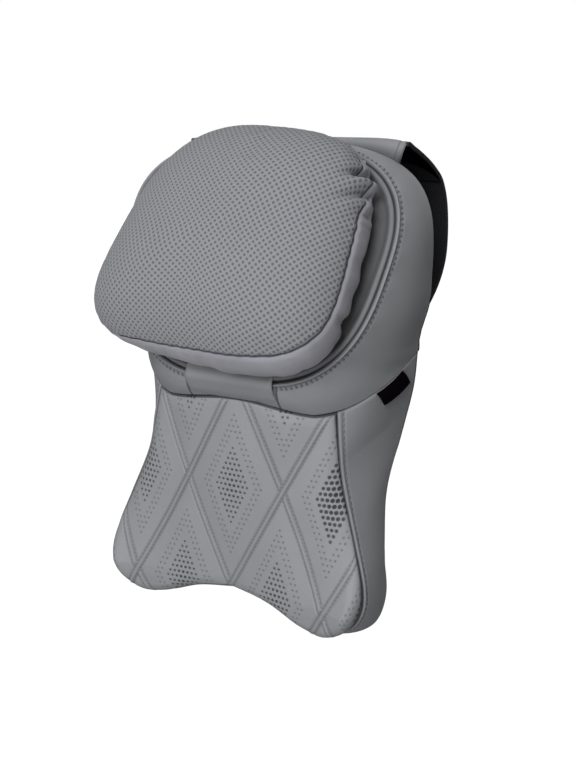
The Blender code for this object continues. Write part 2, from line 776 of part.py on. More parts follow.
def loop_sheet(name, part, lift, thickness, group, mat, skip=0):
    """One layer of the loop: the hood before the cross seam or the band after it."""
    rows = []
    for x in np.linspace(-LOOP_HALF_WIDTH, LOOP_HALF_WIDTH, LOOP_COLUMNS):
        points, seam = loop_path(x)
        pts = offset_path(open_spline(points, LOOP_STEPS), lift)
        seam *= LOOP_STEPS
        if part == "hood":
            rows.append(pts[skip:seam + 1])
        else:
            along = pts[seam + 1] - pts[seam]
            pts[seam] += along / np.linalg.norm(along) * 2 * GAP
            rows.append(pts[seam:])
    mesh = loft(name, rows, closed=False)
    orient(mesh, away_from((0, 0.05, 0.0)))
    item = add_object(name, mesh, mat, group)
    solidify(item, thickness)


def side_tab(group, mat):
    plans = np.linspace(TAB_START, TAB_END, TAB_COLUMNS)
    top = np.array([seam_point(p) for p in plans]) + [2 * GAP, 0, -GAP]
    drop = np.array(TAB_DROP)
    rows = [top, top + drop * 0.5 + [TAB_BELLY, 0, 0], top + drop]
    mesh = loft("side_tab", rows, closed=False)
    orient(mesh, lambda c: (1, 0, 0))
    item = add_object("side_tab", mesh, mat, group)
    mod = solidify(item, TAB_THICKNESS)
    mod.offset = 1.0


def build():
    clear_scene()
    group = collection("car_neck_pillow")
    leather = material("grey_leather", (0.26, 0.27, 0.28), 0.55)
    perforated = material("perforated_leather", (0.26, 0.27, 0.28), 0.6)
    knit = material("dotted_knit", (0.28, 0.29, 0.31), 0.9)
    suede = material("grey_suede", (0.22, 0.22, 0.25), 0.95)
    black_cloth = material("black_cloth", (0.01, 0.01, 0.01), 0.9)
    charcoal = material("charcoal_elastic", (0.03, 0.03, 0.032), 0.9)
    label = material("black_label", (0.012, 0.01, 0.012), 0.8)
    foam = material("foam", (0.7, 0.68, 0.6), 0.9)
    wadding = material("wadding", (0.8, 0.8, 0.8), 0.9)
    head_foam(group, foam)
    head_front_panel(group, leather)
    head_gusset(group, leather)
    head_piping(group, leather)
    head_back_panel(group, black_cloth)
    neck_foam(group, foam)
    neck_front_panel(group, perforated)
    neck_gusset(group, leather)
    neck_back_panel(group, black_cloth)
    pillow_parts(group, knit, suede, wadding)
    pillow_flap(group, leather)
    loop_sheet("hood", "hood", 0.0, LOOP_CLOTH, group, leather)
    loop_sheet("hood_lining", "hood", -(LOOP_CLOTH + 2 * GAP), LINING, group, black_cloth,
               skip=LINING_SKIP)
    loop_sheet("back_band", "band", 0.0, LOOP_CLOTH, group, charcoal)
    side_tab(group, label)


build()
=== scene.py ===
"""Looks of the car neck pillow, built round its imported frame.

Metres, in the frame's own axes: +X to the right as seen from the front, +Y back into the seat, +Z up.
"""
import math

import bmesh
import bpy
import numpy as np
from mathutils import Matrix, Vector


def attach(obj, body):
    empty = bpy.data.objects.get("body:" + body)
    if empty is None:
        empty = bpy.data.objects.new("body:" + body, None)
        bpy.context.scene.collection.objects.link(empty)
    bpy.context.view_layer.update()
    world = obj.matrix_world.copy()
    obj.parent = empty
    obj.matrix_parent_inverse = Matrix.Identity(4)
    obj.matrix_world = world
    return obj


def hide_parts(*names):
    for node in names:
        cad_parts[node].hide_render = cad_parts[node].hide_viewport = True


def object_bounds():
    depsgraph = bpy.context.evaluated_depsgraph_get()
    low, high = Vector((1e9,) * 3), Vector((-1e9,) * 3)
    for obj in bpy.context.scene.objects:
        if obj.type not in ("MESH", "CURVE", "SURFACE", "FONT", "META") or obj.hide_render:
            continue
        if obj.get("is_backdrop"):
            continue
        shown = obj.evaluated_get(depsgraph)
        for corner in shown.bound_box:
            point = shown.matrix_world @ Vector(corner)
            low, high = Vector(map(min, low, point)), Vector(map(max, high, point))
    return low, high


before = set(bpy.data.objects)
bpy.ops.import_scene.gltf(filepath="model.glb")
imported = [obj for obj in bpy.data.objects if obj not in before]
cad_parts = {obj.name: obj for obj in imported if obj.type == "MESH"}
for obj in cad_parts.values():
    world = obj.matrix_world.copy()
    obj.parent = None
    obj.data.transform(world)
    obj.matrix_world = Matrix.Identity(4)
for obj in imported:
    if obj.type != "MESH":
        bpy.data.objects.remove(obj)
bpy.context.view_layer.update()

# Head block
RING_Y = -0.0814
RING_RECLINE = 0.40
RING_HALF = (0.128, 0.100)
RING_CENTRE_Z = 0.002
RING_POWERS = (2.6, 3.0)
RING_TAPER = 0.152
PANEL_CROWN = 0.003
GUSSET_BULGE = 0.09
BACK_Y = -0.0018
BACK_HALF = (0.146, 0.108)
BACK_CENTRE_Z = -0.010
BACK_POWER = 3.4

# Seam between the head block and the neck section
SEAM_HALF = (0.132, 0.109)
SEAM_POWER = 2.6
SEAM_REAR_Z = -0.085
SEAM_SLOPE = 0.40
SEAM_SAG = 0.0034
SEAM_SAG_DEPTHS = (0.062, 0.092)
SEAM_FRONT_RISE = 0.0135
SEAM_RISE_HALF_WIDTH = 0.075
SEAM_FLARE = 0.0045
SEAM_FLARE_DEPTH = 0.035
# Height, and how far the flat back's side edge is moved outwards there
REAR_SIDE = (
    (-0.030, 0.0), (-0.045, -0.0015), (-0.055, -0.0030),
    (-0.065, -0.0035), (-0.075, -0.0015), (-0.085, 0.0045),
)
REAR_ANGLE = math.radians(-32.0)
CORNER_RING_ANGLE = math.radians(-50.0)
CORNER_ANGLE = math.radians(44.5)

# Neck section
NECK_CENTRE_Z = -0.205
NECK_FRONT_OUTLINE = (
    (0.0965, -0.0970, -0.155), (0.1030, -0.1010, -0.190), (0.1195, -0.1120, -0.236),
    (0.1320, -0.1210, -0.273), (0.1315, -0.1220, -0.298), (0.1195, -0.1190, -0.3200),
    (0.0975, -0.1170, -0.3320), (0.0720, -0.1190, -0.3280), (0.0380, -0.1220, -0.313),
    (0.0000, -0.1220, -0.305),
)
LOBE_SPANS = 6
NECK_REAR_OUTLINE = (
    (0.1345, -0.118), (0.1270, -0.168), (0.1240, -0.214), (0.1335, -0.268), (0.1385, -0.306),
    (0.1275, -0.338), (0.1000, -0.348), (0.0720, -0.336), (0.0380, -0.318), (0.0000, -0.310),
)
NECK_BACK_PROFILE = (
    (-0.085, -0.0018), (-0.130, -0.0018), (-0.168, -0.0100), (-0.214, -0.0400),
    (-0.268, -0.0680), (-0.310, -0.0740), (-0.355, -0.0760),
)
NECK_FRONT_PROFILE = ((-0.115, -0.1100), (-0.199, -0.1170), (-0.307, -0.1270))
NECK_SIDE_PROFILE = (
    (-0.115, 0.0180), (-0.155, 0.0150), (-0.199, 0.0100), (-0.236, 0.0040), (-0.298, -0.0110),
)

# Quilting, its perforations, and the pitch of the knit's dots
DIAMOND_HALF = (0.0495, 0.1015)
DIAMOND_CENTRE_Z = -0.201
CHANNEL_HALF_WIDTH = 0.0027
HOLE_STEP = (0.00225, 0.00512)
# Rows from a diamond's middle, half size over which the cluster's holes shrink, and radii
CLUSTER_ROWS = 4.0
OUTER_ROWS = (5.0, 7.0)
CLUSTER_HALF = (0.019, 0.042)
MIDDLE_HOLE = 0.00140
HOLE_SHRINK = 0.00040
OUTER_HOLE = 0.00106
DOT_PITCH = 0.0052

# Soft pillow
PILLOW_CENTRE = (0.0035, -0.1005, 0.0146)
PILLOW_RECLINE = math.radians(24.7)
PILLOW_TILT = math.radians(-5.0)
PILLOW_SKEW = 0.15
PILLOW_HALF = (0.111, 0.105)
PILLOW_POWER = 3.6
PILLOW_TAPER = 0.15
SOFT_CORNER = (math.radians(135.0), math.radians(22.0), 0.05)
PILLOW_FRONT = 0.060
PILLOW_BACK = 0.0187
KNIT_TURN = 0.80 * math.pi / 2
REAR_TURN = math.pi - 0.62
GATHER_ANGLE = math.radians(34.0)
# Angle round the pillow, and the turn of the knit's seam there, in degrees
SEAM_TURNS = (
    (-180, 87), (-135, 84), (-112, 68), (-80, 62), (-57, 61), (-39, 67), (-28, 73), (-15, 75), (19, 75),
    (26, 81), (31, 86), (35, 80), (40, 82), (46, 87), (180, 87),
)
# Folds: angle, slant, half width, depth in metres, inner and outer turn; a negative depth stands out
FOLDS = (
    (36.6, 0.5, 2.0, 0.0095, 52, 106),
    (32.6, -1.5, 1.7, -0.0040, 50, 106),
    (28.0, 3.0, 1.7, 0.0062, 42, 104),
    (24.4, 2.0, 1.5, -0.0020, 48, 98),
    (20.5, 1.0, 1.3, 0.0028, 58, 100),
    (16.5, 0.0, 1.1, 0.0012, 72, 100),
    (41.5, 0.0, 2.2, 0.0022, 62, 100),
    (47.0, 0.0, 2.0, 0.0012, 66, 100),
    (62.0, 0.0, 3.0, 0.0016, 66, 100),
    (-22.0, 0.0, 2.6, 0.0048, 76, 116),
    (-34.0, 0.0, 3.0, -0.0015, 74, 116),
    (-50.0, 0.0, 3.5, 0.0016, 42, 66),
)

# Flap under the pillow
FLAP_HALF_WIDTH = 0.045
FLAP_LIFT = 0.0021
FLAP_EDGE_LIFT = 0.0009
FLAP_RING_LIFT = 0.0024

# Headrest loop
LOOP_HALF_WIDTH = 0.120
LOOP_CROWN = 0.0045
LOOP_CROWN_POWER = 8
HOOD_TOP_Z = 0.100
HOOD_SPREAD = (0.90, 0.905, 0.935, 0.95, 0.97, 0.985, 1.0)
HOOD_PROFILE = ((0.0320, 0.0955), (0.0620, 0.0850), (0.0850, 0.0745), (0.1040, 0.0620))
BAND_PROFILE = (
    (0.1230, 0.0400), (0.1320, 0.0130), (0.1320, -0.0140), (0.1210, -0.0330),
    (0.0990, -0.0490), (0.0660, -0.0630), (0.0300, -0.0730), (0.0074, -0.0785), (0.0034, -0.0840),
)
# The hood's first two points, as their height over the block's upper edge, and its third
HOOD_ROOT = ((0.0006, -0.014), (0.0026, -0.004))
HOOD_BEND_Y = 0.0120

# Label on the right-hand seam
TAB_ANGLES = (math.radians(13.0), math.radians(28.5))
TAB_DROP = (0.0055, 0.0075, -0.0125)

# Thickness of leather and cloth, and points inside the parts that their skins are turned away from
LEATHER_THICK = 0.0018
CLOTH_THICK = 0.0012
HEAD_MIDDLE = (0, -0.05, 0)
NECK_MIDDLE = (0, -0.06, NECK_CENTRE_Z)
LOOP_MIDDLE = (0, 0.05, 0)

# Colours
LEATHER_GREY = (0.262, 0.266, 0.280)
KNIT_LIGHT = (0.300, 0.306, 0.326)
KNIT_DARK = (0.118, 0.120, 0.134)
SUEDE_GREY = (0.335, 0.333, 0.374)
# Painted shade for the dark line in the pillow's seam groove, between knit and suede
PAINTED_SEAM_SHADE = (0.045, 0.042, 0.058)
THREAD_DARK = (0.12, 0.122, 0.13)
THREAD_LIGHT = (0.17, 0.172, 0.182)
CLOTH_BLACK = (0.006, 0.006, 0.0065)
# Near-zero black: the hood's inner face, painted as the shadow under the hood
LINING_SHADOW_BLACK = (0.0016, 0.0016, 0.0017)
CHARCOAL = (0.027, 0.028, 0.031)
BINDING = (0.034, 0.035, 0.038)
LABEL_BLACK = (0.0045, 0.0030, 0.0048)
FOAM_PALE = (0.68, 0.66, 0.58)

# Light: the floor's own shade and glow, and the world's strength where the camera can't see it
FLOOR_ALBEDO = (0.45, 0.45, 0.45)
FLOOR_GLOW = 1.56
FLOOR_GLOW_SHARE = 0.65
AMBIENT = 0.05
LAMP_AIM = Vector((0, -0.05, -0.12))
# Name, place, diameter in metres, and power in watts
LAMPS = (
    ("key", (0.25, -1.95, 0.95), 1.0, 32.0),
    ("low", (0.3, -2.0, 0.0), 1.0, 7.0),
    ("top", (0.3, -0.4, 2.0), 1.2, 7.5),
)

# Camera
CAMERA_AIM = Vector((0, 0, -0.1375))
CAMERA_SIDE = Vector((0.4129, -0.8579, 0.3057)).normalized()
CAMERA_DISTANCE = 0.88
CAMERA_LENS = 40.5
CAMERA_SENSOR = 36


# Materials

def operator(operation, swapped=False):
    """A method that adds one Math node; swapped puts the other value first."""
    def method(self, *others):
        values = (*others, self) if swapped else (self, *others)
        return self.nodes.node("ShaderNodeMath", {"operation": operation}, *values)
    return method


class Signal:
    """One output in a node tree; arithmetic on it adds Math nodes."""

    def __init__(self, nodes, socket):
        self.nodes = nodes
        self.socket = socket

    __add__ = __radd__ = operator("ADD")
    __sub__ = operator("SUBTRACT")
    __rsub__ = operator("SUBTRACT", swapped=True)
    __mul__ = __rmul__ = operator("MULTIPLY")
    __truediv__ = operator("DIVIDE")
    __pow__ = operator("POWER")
    __abs__ = operator("ABSOLUTE")
    above = operator("GREATER_THAN")
    least = operator("MINIMUM")
    most = operator("MAXIMUM")
    floor = operator("FLOOR")
    fract = operator("FRACT")
    sign = operator("SIGN")
    sine = operator("SINE")

    def wave(self, pitch):
        """Sine wave with one turn every pitch."""
        return (self * (2 * math.pi / pitch)).sine()

    def ramp(self, low, high):
        """Eases from 0 at low to 1 at high; low may be the larger."""
        return self.nodes.node("ShaderNodeMapRange", {"interpolation_type": "SMOOTHSTEP"},
                               self, low, high, 0.0, 1.0)


class Nodes:
    """A node tree of a material or a world."""

    def __init__(self, owner):
        owner.use_nodes = True
        self.tree = owner.node_tree

    def node(self, kind, settings, *values, output=0, **named):
        """Adds a node with its settings, and gives its sockets values or links; returns one output."""
        item = self.tree.nodes.new(kind)
        for key, value in settings.items():
            setattr(item, key, value)
        for key, value in list(enumerate(values)) + list(named.items()):
            socket = item.inputs[key.replace("_", " ") if isinstance(key, str) else key]
            if isinstance(value, Signal):
                self.tree.links.new(value.socket, socket)
            elif value is not None:
                socket.default_value = value
        return Signal(self, item.outputs[output])


class Finish(Nodes):
    """A material, and the nodes that make it."""

    def __init__(self, name, colour, roughness, specular=0.3):
        self.material = bpy.data.materials.new(name)
        super().__init__(self.material)
        self.shader = self.tree.nodes["Principled BSDF"]
        self.colour = colour
        self.set(Base_Color=(*colour, 1.0), Roughness=roughness, Specular_IOR_Level=specular)

    def set(self, **values):
        for name, value in values.items():
            self.shader.inputs[name.replace("_", " ")].default_value = value

    def place(self, source="Object"):
        """The point's coordinates in metres, as a vector and as three signals."""
        vector = self.node("ShaderNodeTexCoord", {}, output=source)
        return vector, *[self.node("ShaderNodeSeparateXYZ", {}, vector, output=k) for k in range(3)]

    def noise(self, vector, scale, detail=2.0, roughness=0.5):
        return self.node("ShaderNodeTexNoise", {}, Vector=vector, Scale=scale, Detail=detail,
                         Roughness=roughness)

    def cells(self, vector, scale, feature="F1"):
        return self.node("ShaderNodeTexVoronoi", {"feature": feature}, Vector=vector, Scale=scale,
                         output="Distance")

    def blend(self, amount, first, second):
        """Mixes two colours, given as tuples or signals, by a signal."""
        first, second = [(*c, 1.0) if isinstance(c, tuple) else c for c in (first, second)]
        return self.node("ShaderNodeMix", {"data_type": "RGBA"}, amount, None, None, None, None, None,
                         first, second, output=2)

    def feed(self, name, signal):
        self.tree.links.new(signal.socket, self.shader.inputs[name])

    def tones(self, amount, low, high):
        """Feeds the material's colour, from low to high times as bright, by a signal."""
        self.feed("Base Color", self.blend(amount, shade(self.colour, low), shade(self.colour, high)))

    def cover(self, amount, colour):
        """Lays a colour over the one fed before, by a signal."""
        ground = Signal(self, self.shader.inputs["Base Color"].links[0].from_socket)
        self.feed("Base Color", self.blend(amount, ground, colour))

    def seam_distance(self):
        """Distance in metres from the piece's own seam, kept on its points."""
        return self.node("ShaderNodeAttribute", {"attribute_name": "edge"}, output="Fac")

    def bump(self, height, distance, strength=1.0):
        """Raises the surface by height times distance, in metres, after any bump given before."""
        item = self.node("ShaderNodeBump", {}, Strength=strength, Distance=distance, Height=height)
        before = self.shader.inputs["Normal"].links
        if before:
            self.tree.links.new(before[0].from_socket, item.socket.node.inputs["Normal"])
        self.feed("Normal", item)


def shade(colour, factor):
    return tuple(c * factor for c in colour)


def leather(name, colour=LEATHER_GREY, painted_crease_shades=()):
    """Calf grain: small uneven cells with fine creases, a faint mottle, and a slight polish on high spots.

    Each crease is painted shade: a distance from the piece's seam, a half width and a depth, darkening the
    colour in seam gaps, stitch dips and grooves, and in the pillow's shadow, where shade falls.
    """
    finish = Finish(name, colour, 0.55, 0.35)
    vector = finish.place()[0]
    cells = finish.cells(vector, 950.0, "DISTANCE_TO_EDGE").ramp(0.0, 0.12)
    fine = finish.noise(vector, 2600.0, 1.0)
    mottle = finish.noise(vector, 22.0, 3.0)
    finish.tones(mottle * 0.6 + cells * 0.25, 0.92, 1.07)
    # Painted shade: each crease darkens the colour along its line
    for place, half_width, depth in painted_crease_shades:
        line = abs(finish.seam_distance() - place).ramp(half_width, half_width * 0.5)
        finish.cover(line * depth, shade(colour, 0.10))
    finish.feed("Roughness", 0.50 + mottle * 0.10 - cells * 0.03)
    finish.bump(cells * 0.7 + fine * 0.3, 0.00012, 0.6)
    return finish


def flap_edge_shadows(finish):
    """Paints shadow: darkens the two lines where the flap's edges lie on the band below the ring seam."""
    x, z = finish.place()[1::2]
    line = abs(abs(x) - FLAP_HALF_WIDTH - 0.0006).ramp(0.0016, 0.0004) * z.ramp(-0.070, -0.080)
    # Painted shadow beside each of the flap's edges
    finish.cover(line * 0.8, shade(LEATHER_GREY, 0.10))
    return finish


def hood_root_shade(finish, reach):
    """Paints shade: darkens the leather in the recess where it comes out of the seam on the block's back
    edge, up to reach behind it.
    """
    y = finish.place()[2]
    finish.cover(y.ramp(reach, reach * 0.35) * 0.85, shade(LEATHER_GREY, 0.06))
    return finish


def perforations(x, z):
    """Rows of holes inside each diamond: a cluster of eight by eight, one empty row, and two thin outer rows.

    The point is folded into its diamond, and then counted in steps along the diamond's two sides.
    """
    half_x, half_z = DIAMOND_HALF
    folded_x = (x / (2 * half_x) + 0.5).fract() - 0.5
    folded_z = ((z - DIAMOND_CENTRE_Z) / (2 * half_z) + 0.5).fract() - 0.5
    outside = (abs(folded_x) + abs(folded_z)).above(0.5)
    in_x = (folded_x - folded_x.sign() * 0.5 * outside) * (2 * half_x)
    in_z = (folded_z - folded_z.sign() * 0.5 * outside) * (2 * half_z)
    s = in_x / (2 * HOLE_STEP[0]) + in_z / (2 * HOLE_STEP[1])
    t = in_z / (2 * HOLE_STEP[1]) - in_x / (2 * HOLE_STEP[0])
    cell_s = s.floor() + 0.5
    cell_t = t.floor() + 0.5
    off_s = s - cell_s
    off_t = t - cell_t
    dx = (off_s - off_t) * HOLE_STEP[0]
    dz = (off_s + off_t) * HOLE_STEP[1]
    away = (dx * dx + dz * dz) ** 0.5
    row = abs(cell_s).most(abs(cell_t))
    inner = 1 - row.above(CLUSTER_ROWS)
    outer = row.above(OUTER_ROWS[0]) * (1 - row.above(OUTER_ROWS[1]))
    reach = ((in_x * in_x / CLUSTER_HALF[0] ** 2 + in_z * in_z / CLUSTER_HALF[1] ** 2) ** 0.5).least(1.0)
    rightwards = x.ramp(0.05, 0.085)
    radius = inner * (MIDDLE_HOLE - HOLE_SHRINK * reach) * (1 + 0.30 * rightwards) + outer * OUTER_HOLE
    hole = (away / (radius + 0.00001)).ramp(1.25, 0.75) * (inner + outer)
    depth = inner * (0.85 + 0.15 * rightwards - 0.25 * reach) + outer * 0.34
    return hole, depth


def channel_distance(x, z, side):
    """Distance from the nearest quilting line of one direction; side 1 falls to the right, and -1 rises."""
    half_x, half_z = DIAMOND_HALF
    size = math.hypot(1 / half_x, 1 / half_z)
    across = (x * (side / half_x) + (z - DIAMOND_CENTRE_Z) / half_z) * 0.5 + 0.5
    if isinstance(across, Signal):
        return abs((across + 0.5).fract() - 0.5) * (2 / size)
    return np.abs((across + 0.5) % 1.0 - 0.5) * (2 / size)


def quilted_leather():
    """The neck panel's leather: grain, holes darkened as painted shade, and dark beaded stitch lines on both
    sides of each channel, dark partly from thread and partly from painted shade in their grooves.
    """
    # The crease at the rim is painted shade in the seam's gap
    finish = leather("quilted_leather", shade(LEATHER_GREY, 1.14), ((0.0, 0.0013, 0.75),))
    x, z = finish.place("UV")[1:3]
    hole, depth = perforations(x, z)
    down = channel_distance(x, z, 1)
    up = channel_distance(x, z, -1)
    line_up = abs(up - CHANNEL_HALF_WIDTH).ramp(0.0017, 0.0002)
    line_down = abs(down - CHANNEL_HALF_WIDTH).ramp(0.0017, 0.0002) * up.above(CHANNEL_HALF_WIDTH)
    line = line_up.most(line_down) * (z.wave(0.0034) * 0.25 + 0.75)
    # Stitch lines: darker partly as thread, partly as painted shade in the grooves
    finish.cover(line * 0.50, shade(LEATHER_GREY, 0.30))
    # Holes: painted shade inside each perforation
    finish.cover(hole * depth, shade(LEATHER_GREY, 0.06))
    finish.bump(1 - hole * depth, 0.0012, 0.8)
    finish.bump(1 - line, 0.0005, 0.8)
    return finish


def knit():
    """Warp knit with a staggered lattice of small sunk dots, on the cloth's own coordinates in metres."""
    finish = Finish("dotted_knit", KNIT_LIGHT, 0.85, 0.15)
    vector, u, v = finish.place("UV")[:3]
    near = []
    for shift in (0.0, 0.5):
        off_u, off_v = [(s / DOT_PITCH + shift).fract() - 0.5 for s in (u, v)]
        near.append((off_u ** 2 + off_v ** 2) ** 0.5)
    dot = near[0].least(near[1]).ramp(0.29, 0.12)
    ribs = u.wave(0.00083) * v.wave(0.0011)
    fuzz = finish.noise(vector, 1400.0, 3.0, 0.7)
    mottle = finish.noise(vector, 18.0, 2.0)
    finish.tones(mottle * 0.5 + fuzz * 0.4 + ribs * 0.1, 0.90, 1.08)
    finish.cover(dot * 0.85, KNIT_DARK)
    # Painted shade along the seam groove
    finish.cover(finish.seam_distance().ramp(0.0014, 0.0005) * 0.9, PAINTED_SEAM_SHADE)
    finish.bump(1 - dot, 0.0007, 0.7)
    finish.bump(ribs * 0.5 + fuzz, 0.0002, 0.6)
    finish.set(Sheen_Weight=0.15)
    return finish


def suede():
    """Short nap: fine grain, soft patches where the nap lies another way, and sheen."""
    finish = Finish("grey_suede", SUEDE_GREY, 0.95, 0.1)
    vector = finish.place()[0]
    fine = finish.noise(vector, 1800.0, 4.0, 0.7)
    patches = finish.noise(vector, 38.0, 3.0)
    finish.tones((fine * 0.5 + patches * 0.8 - 0.2).ramp(0.1, 0.9), 0.84, 1.12)
    # Painted shade along the seam groove
    finish.cover(finish.seam_distance().ramp(0.0014, 0.0005) * 0.9, PAINTED_SEAM_SHADE)
    finish.bump(fine, 0.0002, 0.6)
    finish.set(Sheen_Weight=0.25, Sheen_Roughness=0.5)
    return finish


def woven(name, colour, pitch, specular=0.1):
    """Plain weave: two sets of threads, over and under in turn, with a little fuzz."""
    finish = Finish(name, colour, 0.9, specular)
    vector, x, y, z = finish.place()
    fuzz = finish.noise(vector, 900.0, 3.0, 0.7)
    threads = (x + y * 0.35).wave(pitch) * (z - y * 0.65).wave(pitch) * 0.5 + 0.5
    finish.tones(threads * 0.4 + fuzz * 0.4, 0.7, 1.3)
    finish.bump(threads + fuzz * 0.5, pitch * 0.25, 0.6)
    return finish


def lining_cloth():
    """Black lining, coloured near-zero black as painted shadow under the hood, that gives way to the band's
    charcoal cloth at a curved seam.
    """
    finish = woven("shadowed_black_lining", LINING_SHADOW_BLACK, 0.0010, specular=0.0)
    finish.cover(finish.seam_distance().ramp(0.0005, -0.0005), CHARCOAL)
    return finish


def ribbed_elastic(name, colour):
    """Knitted elastic: fine ribs that run round the loop, with small stitches across them."""
    finish = Finish(name, colour, 0.9, 0.1)
    vector, x, y, z = finish.place()
    fuzz = finish.noise(vector, 700.0, 3.0, 0.7)
    height = x.wave(0.0022) * 0.35 + (z + y).wave(0.0016) * 0.15 + 0.5
    finish.tones(height * 0.6 + fuzz * 0.4, 0.75, 1.3)
    finish.bump(height + fuzz * 0.4, 0.0005, 0.7)
    return finish


def foam():
    """Open foam: pale, with small pits."""
    finish = Finish("open_foam", FOAM_PALE, 0.9)
    pits = finish.cells(finish.place()[0], 420.0).ramp(0.15, 0.5)
    finish.tones(pits, 0.75, 1.0)
    finish.bump(pits, 0.0006, 0.7)
    return finish


def sewing_thread():
    """Thread a little darker than the leather, with uneven twist."""
    finish = Finish("seam_thread", THREAD_DARK, 0.7)
    twist = finish.noise(finish.place()[0], 1500.0)
    finish.feed("Base Color", finish.blend(twist, THREAD_DARK, THREAD_LIGHT))
    return finish


# Mesh helpers

def unit(vectors):
    return vectors / np.maximum(np.linalg.norm(vectors, axis=-1, keepdims=True), 1e-12)


def facing(grid, middle):
    """Unit normals of a grid of points, turned away from a middle point on the whole."""
    normals = unit(np.cross(np.gradient(grid, axis=1), np.gradient(grid, axis=0)))
    return normals * np.sign(np.sum(normals * (grid - np.asarray(middle))))


def grid_faces(rows, columns, wrap):
    """Quads of a grid of points; wrap joins the last column to the first."""
    r, c = np.meshgrid(np.arange(rows - 1), np.arange(columns if wrap else columns - 1), indexing="ij")
    a = r * columns + c
    b = r * columns + (c + 1) % columns
    return np.stack([a, b, b + columns, a + columns], -1).reshape(-1, 4)


def quads(index):
    """Quads between the points whose numbers stand in a grid."""
    return np.stack([index[:-1, :-1], index[:-1, 1:], index[1:, 1:], index[1:, :-1]], -1).reshape(-1, 4)


def build_mesh(name, points, faces, uv=None, edge=None):
    """Mesh of points and faces; uv is a point's place on the cloth, and edge its distance from the seam."""
    mesh = bpy.data.meshes.new(name)
    mesh.from_pydata(points.tolist(), [], [tuple(int(k) for k in f) for f in faces])
    if uv is not None:
        layer = mesh.uv_layers.new(name="cloth")
        corners = np.empty(len(mesh.loops), np.int32)
        mesh.loops.foreach_get("vertex_index", corners)
        layer.data.foreach_set("uv", uv[corners].astype(np.float32).ravel())
    if edge is not None:
        mesh.attributes.new("edge", "FLOAT", "POINT").data.foreach_set("value", edge.astype(np.float32))
    return mesh


def surface(name, grid, middle, finish, wrap=False, pole=None, thickness=0.0015, uv=None, edge=None):
    """A skin through a grid of points, rows by columns, given its thickness inwards from the face that shows.

    wrap joins the last column to the first, and pole closes the first row to a point.
    """
    rows, columns = grid.shape[:2]
    points = grid.reshape(-1, 3)
    faces = grid_faces(rows, columns, wrap).tolist()
    if pole is not None:
        points = np.vstack([points, [pole]])
        tip = len(points) - 1
        faces += [(tip, (c + 1) % columns, c) for c in range(columns if wrap else columns - 1)]
    if edge is not None:
        edge = np.broadcast_to(edge, (rows, columns)).ravel()
        edge = np.append(edge, np.full(len(points) - len(edge), edge[0]))
    mesh = build_mesh(name, points, faces, uv, edge)
    return skin(name, mesh, middle, finish, thickness)


def face_out(mesh, middle=None):
    """Turns a mesh's faces outwards, for an open one away from a middle point, and shades it smooth."""
    bm = bmesh.new()
    bm.from_mesh(mesh)
    bmesh.ops.recalc_face_normals(bm, faces=bm.faces)
    if middle is not None:
        middle = Vector(middle)
        if sum(f.normal.dot(f.calc_center_median() - middle) * f.calc_area() for f in bm.faces) < 0:
            bmesh.ops.reverse_faces(bm, faces=bm.faces)
    bm.to_mesh(mesh)
    bm.free()
    mesh.shade_smooth()


def skin(name, mesh, middle, finish, thickness, subdivide=0):
    """Faces an open mesh away from a middle point, and thickens it inwards."""
    face_out(mesh, middle)
    item = add(name, mesh, finish)
    if subdivide:
        mod = item.modifiers.new("Smooth", "SUBSURF")
        mod.levels = mod.render_levels = subdivide
    wall = item.modifiers.new("Wall", "SOLIDIFY")
    wall.thickness = thickness
    wall.offset = -1.0
    return item


def link(name, data):
    item = bpy.data.objects.new(name, data)
    bpy.context.scene.collection.objects.link(item)
    return item


def add(name, mesh, finish):
    mesh.materials.append(finish.material)
    item = link(name, mesh)
    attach(item, "root")
    return item


def lengths(path):
    """Distance along a path at each of its points."""
    return np.concatenate([[0.0], np.cumsum(np.linalg.norm(np.diff(path, axis=0), axis=1))])


def total(path):
    return float(lengths(path)[-1])


def column_lengths(grid):
    """Distance down its own column for each point of a grid."""
    return np.array([lengths(grid[:, k]) for k in range(grid.shape[1])]).T


def read_at(distance, away, *grids):
    """For each column, what each grid holds at a distance from the seam."""
    return [np.array([[np.interp(distance, away[:, k], grid[:, k, j]) for j in range(3)]
                      for k in range(away.shape[1])]) for grid in grids]


def along(path, places, *others):
    """Points at distances along a path, and other arrays read at the same places."""
    marks = lengths(path)
    read = [np.stack([np.interp(places, marks, a[:, k]) for k in range(a.shape[1])], -1)
            for a in (path, *others)]
    return read if others else read[0]


def spaced(path, count):
    """The path read at evenly spaced points."""
    return along(path, np.linspace(0, total(path), count))


def smooth_path(points, steps):
    """Open Catmull-Rom curve through points, with steps between each two."""
    pts = np.asarray(points, float)
    full = np.vstack([2 * pts[0] - pts[1], pts, 2 * pts[-1] - pts[-2]])
    k, t = np.divmod(np.arange((len(pts) - 1) * steps), steps)
    t = (t / steps)[:, None]
    p0, p1, p2, p3 = (full[k + j] for j in range(4))
    curve = 0.5 * (2 * p1 + (p2 - p0) * t + (2 * p0 - 5 * p1 + 4 * p2 - p3) * t ** 2
                   + (3 * p1 - p0 - 3 * p2 + p3) * t ** 3)
    return np.vstack([curve, pts[-1]])


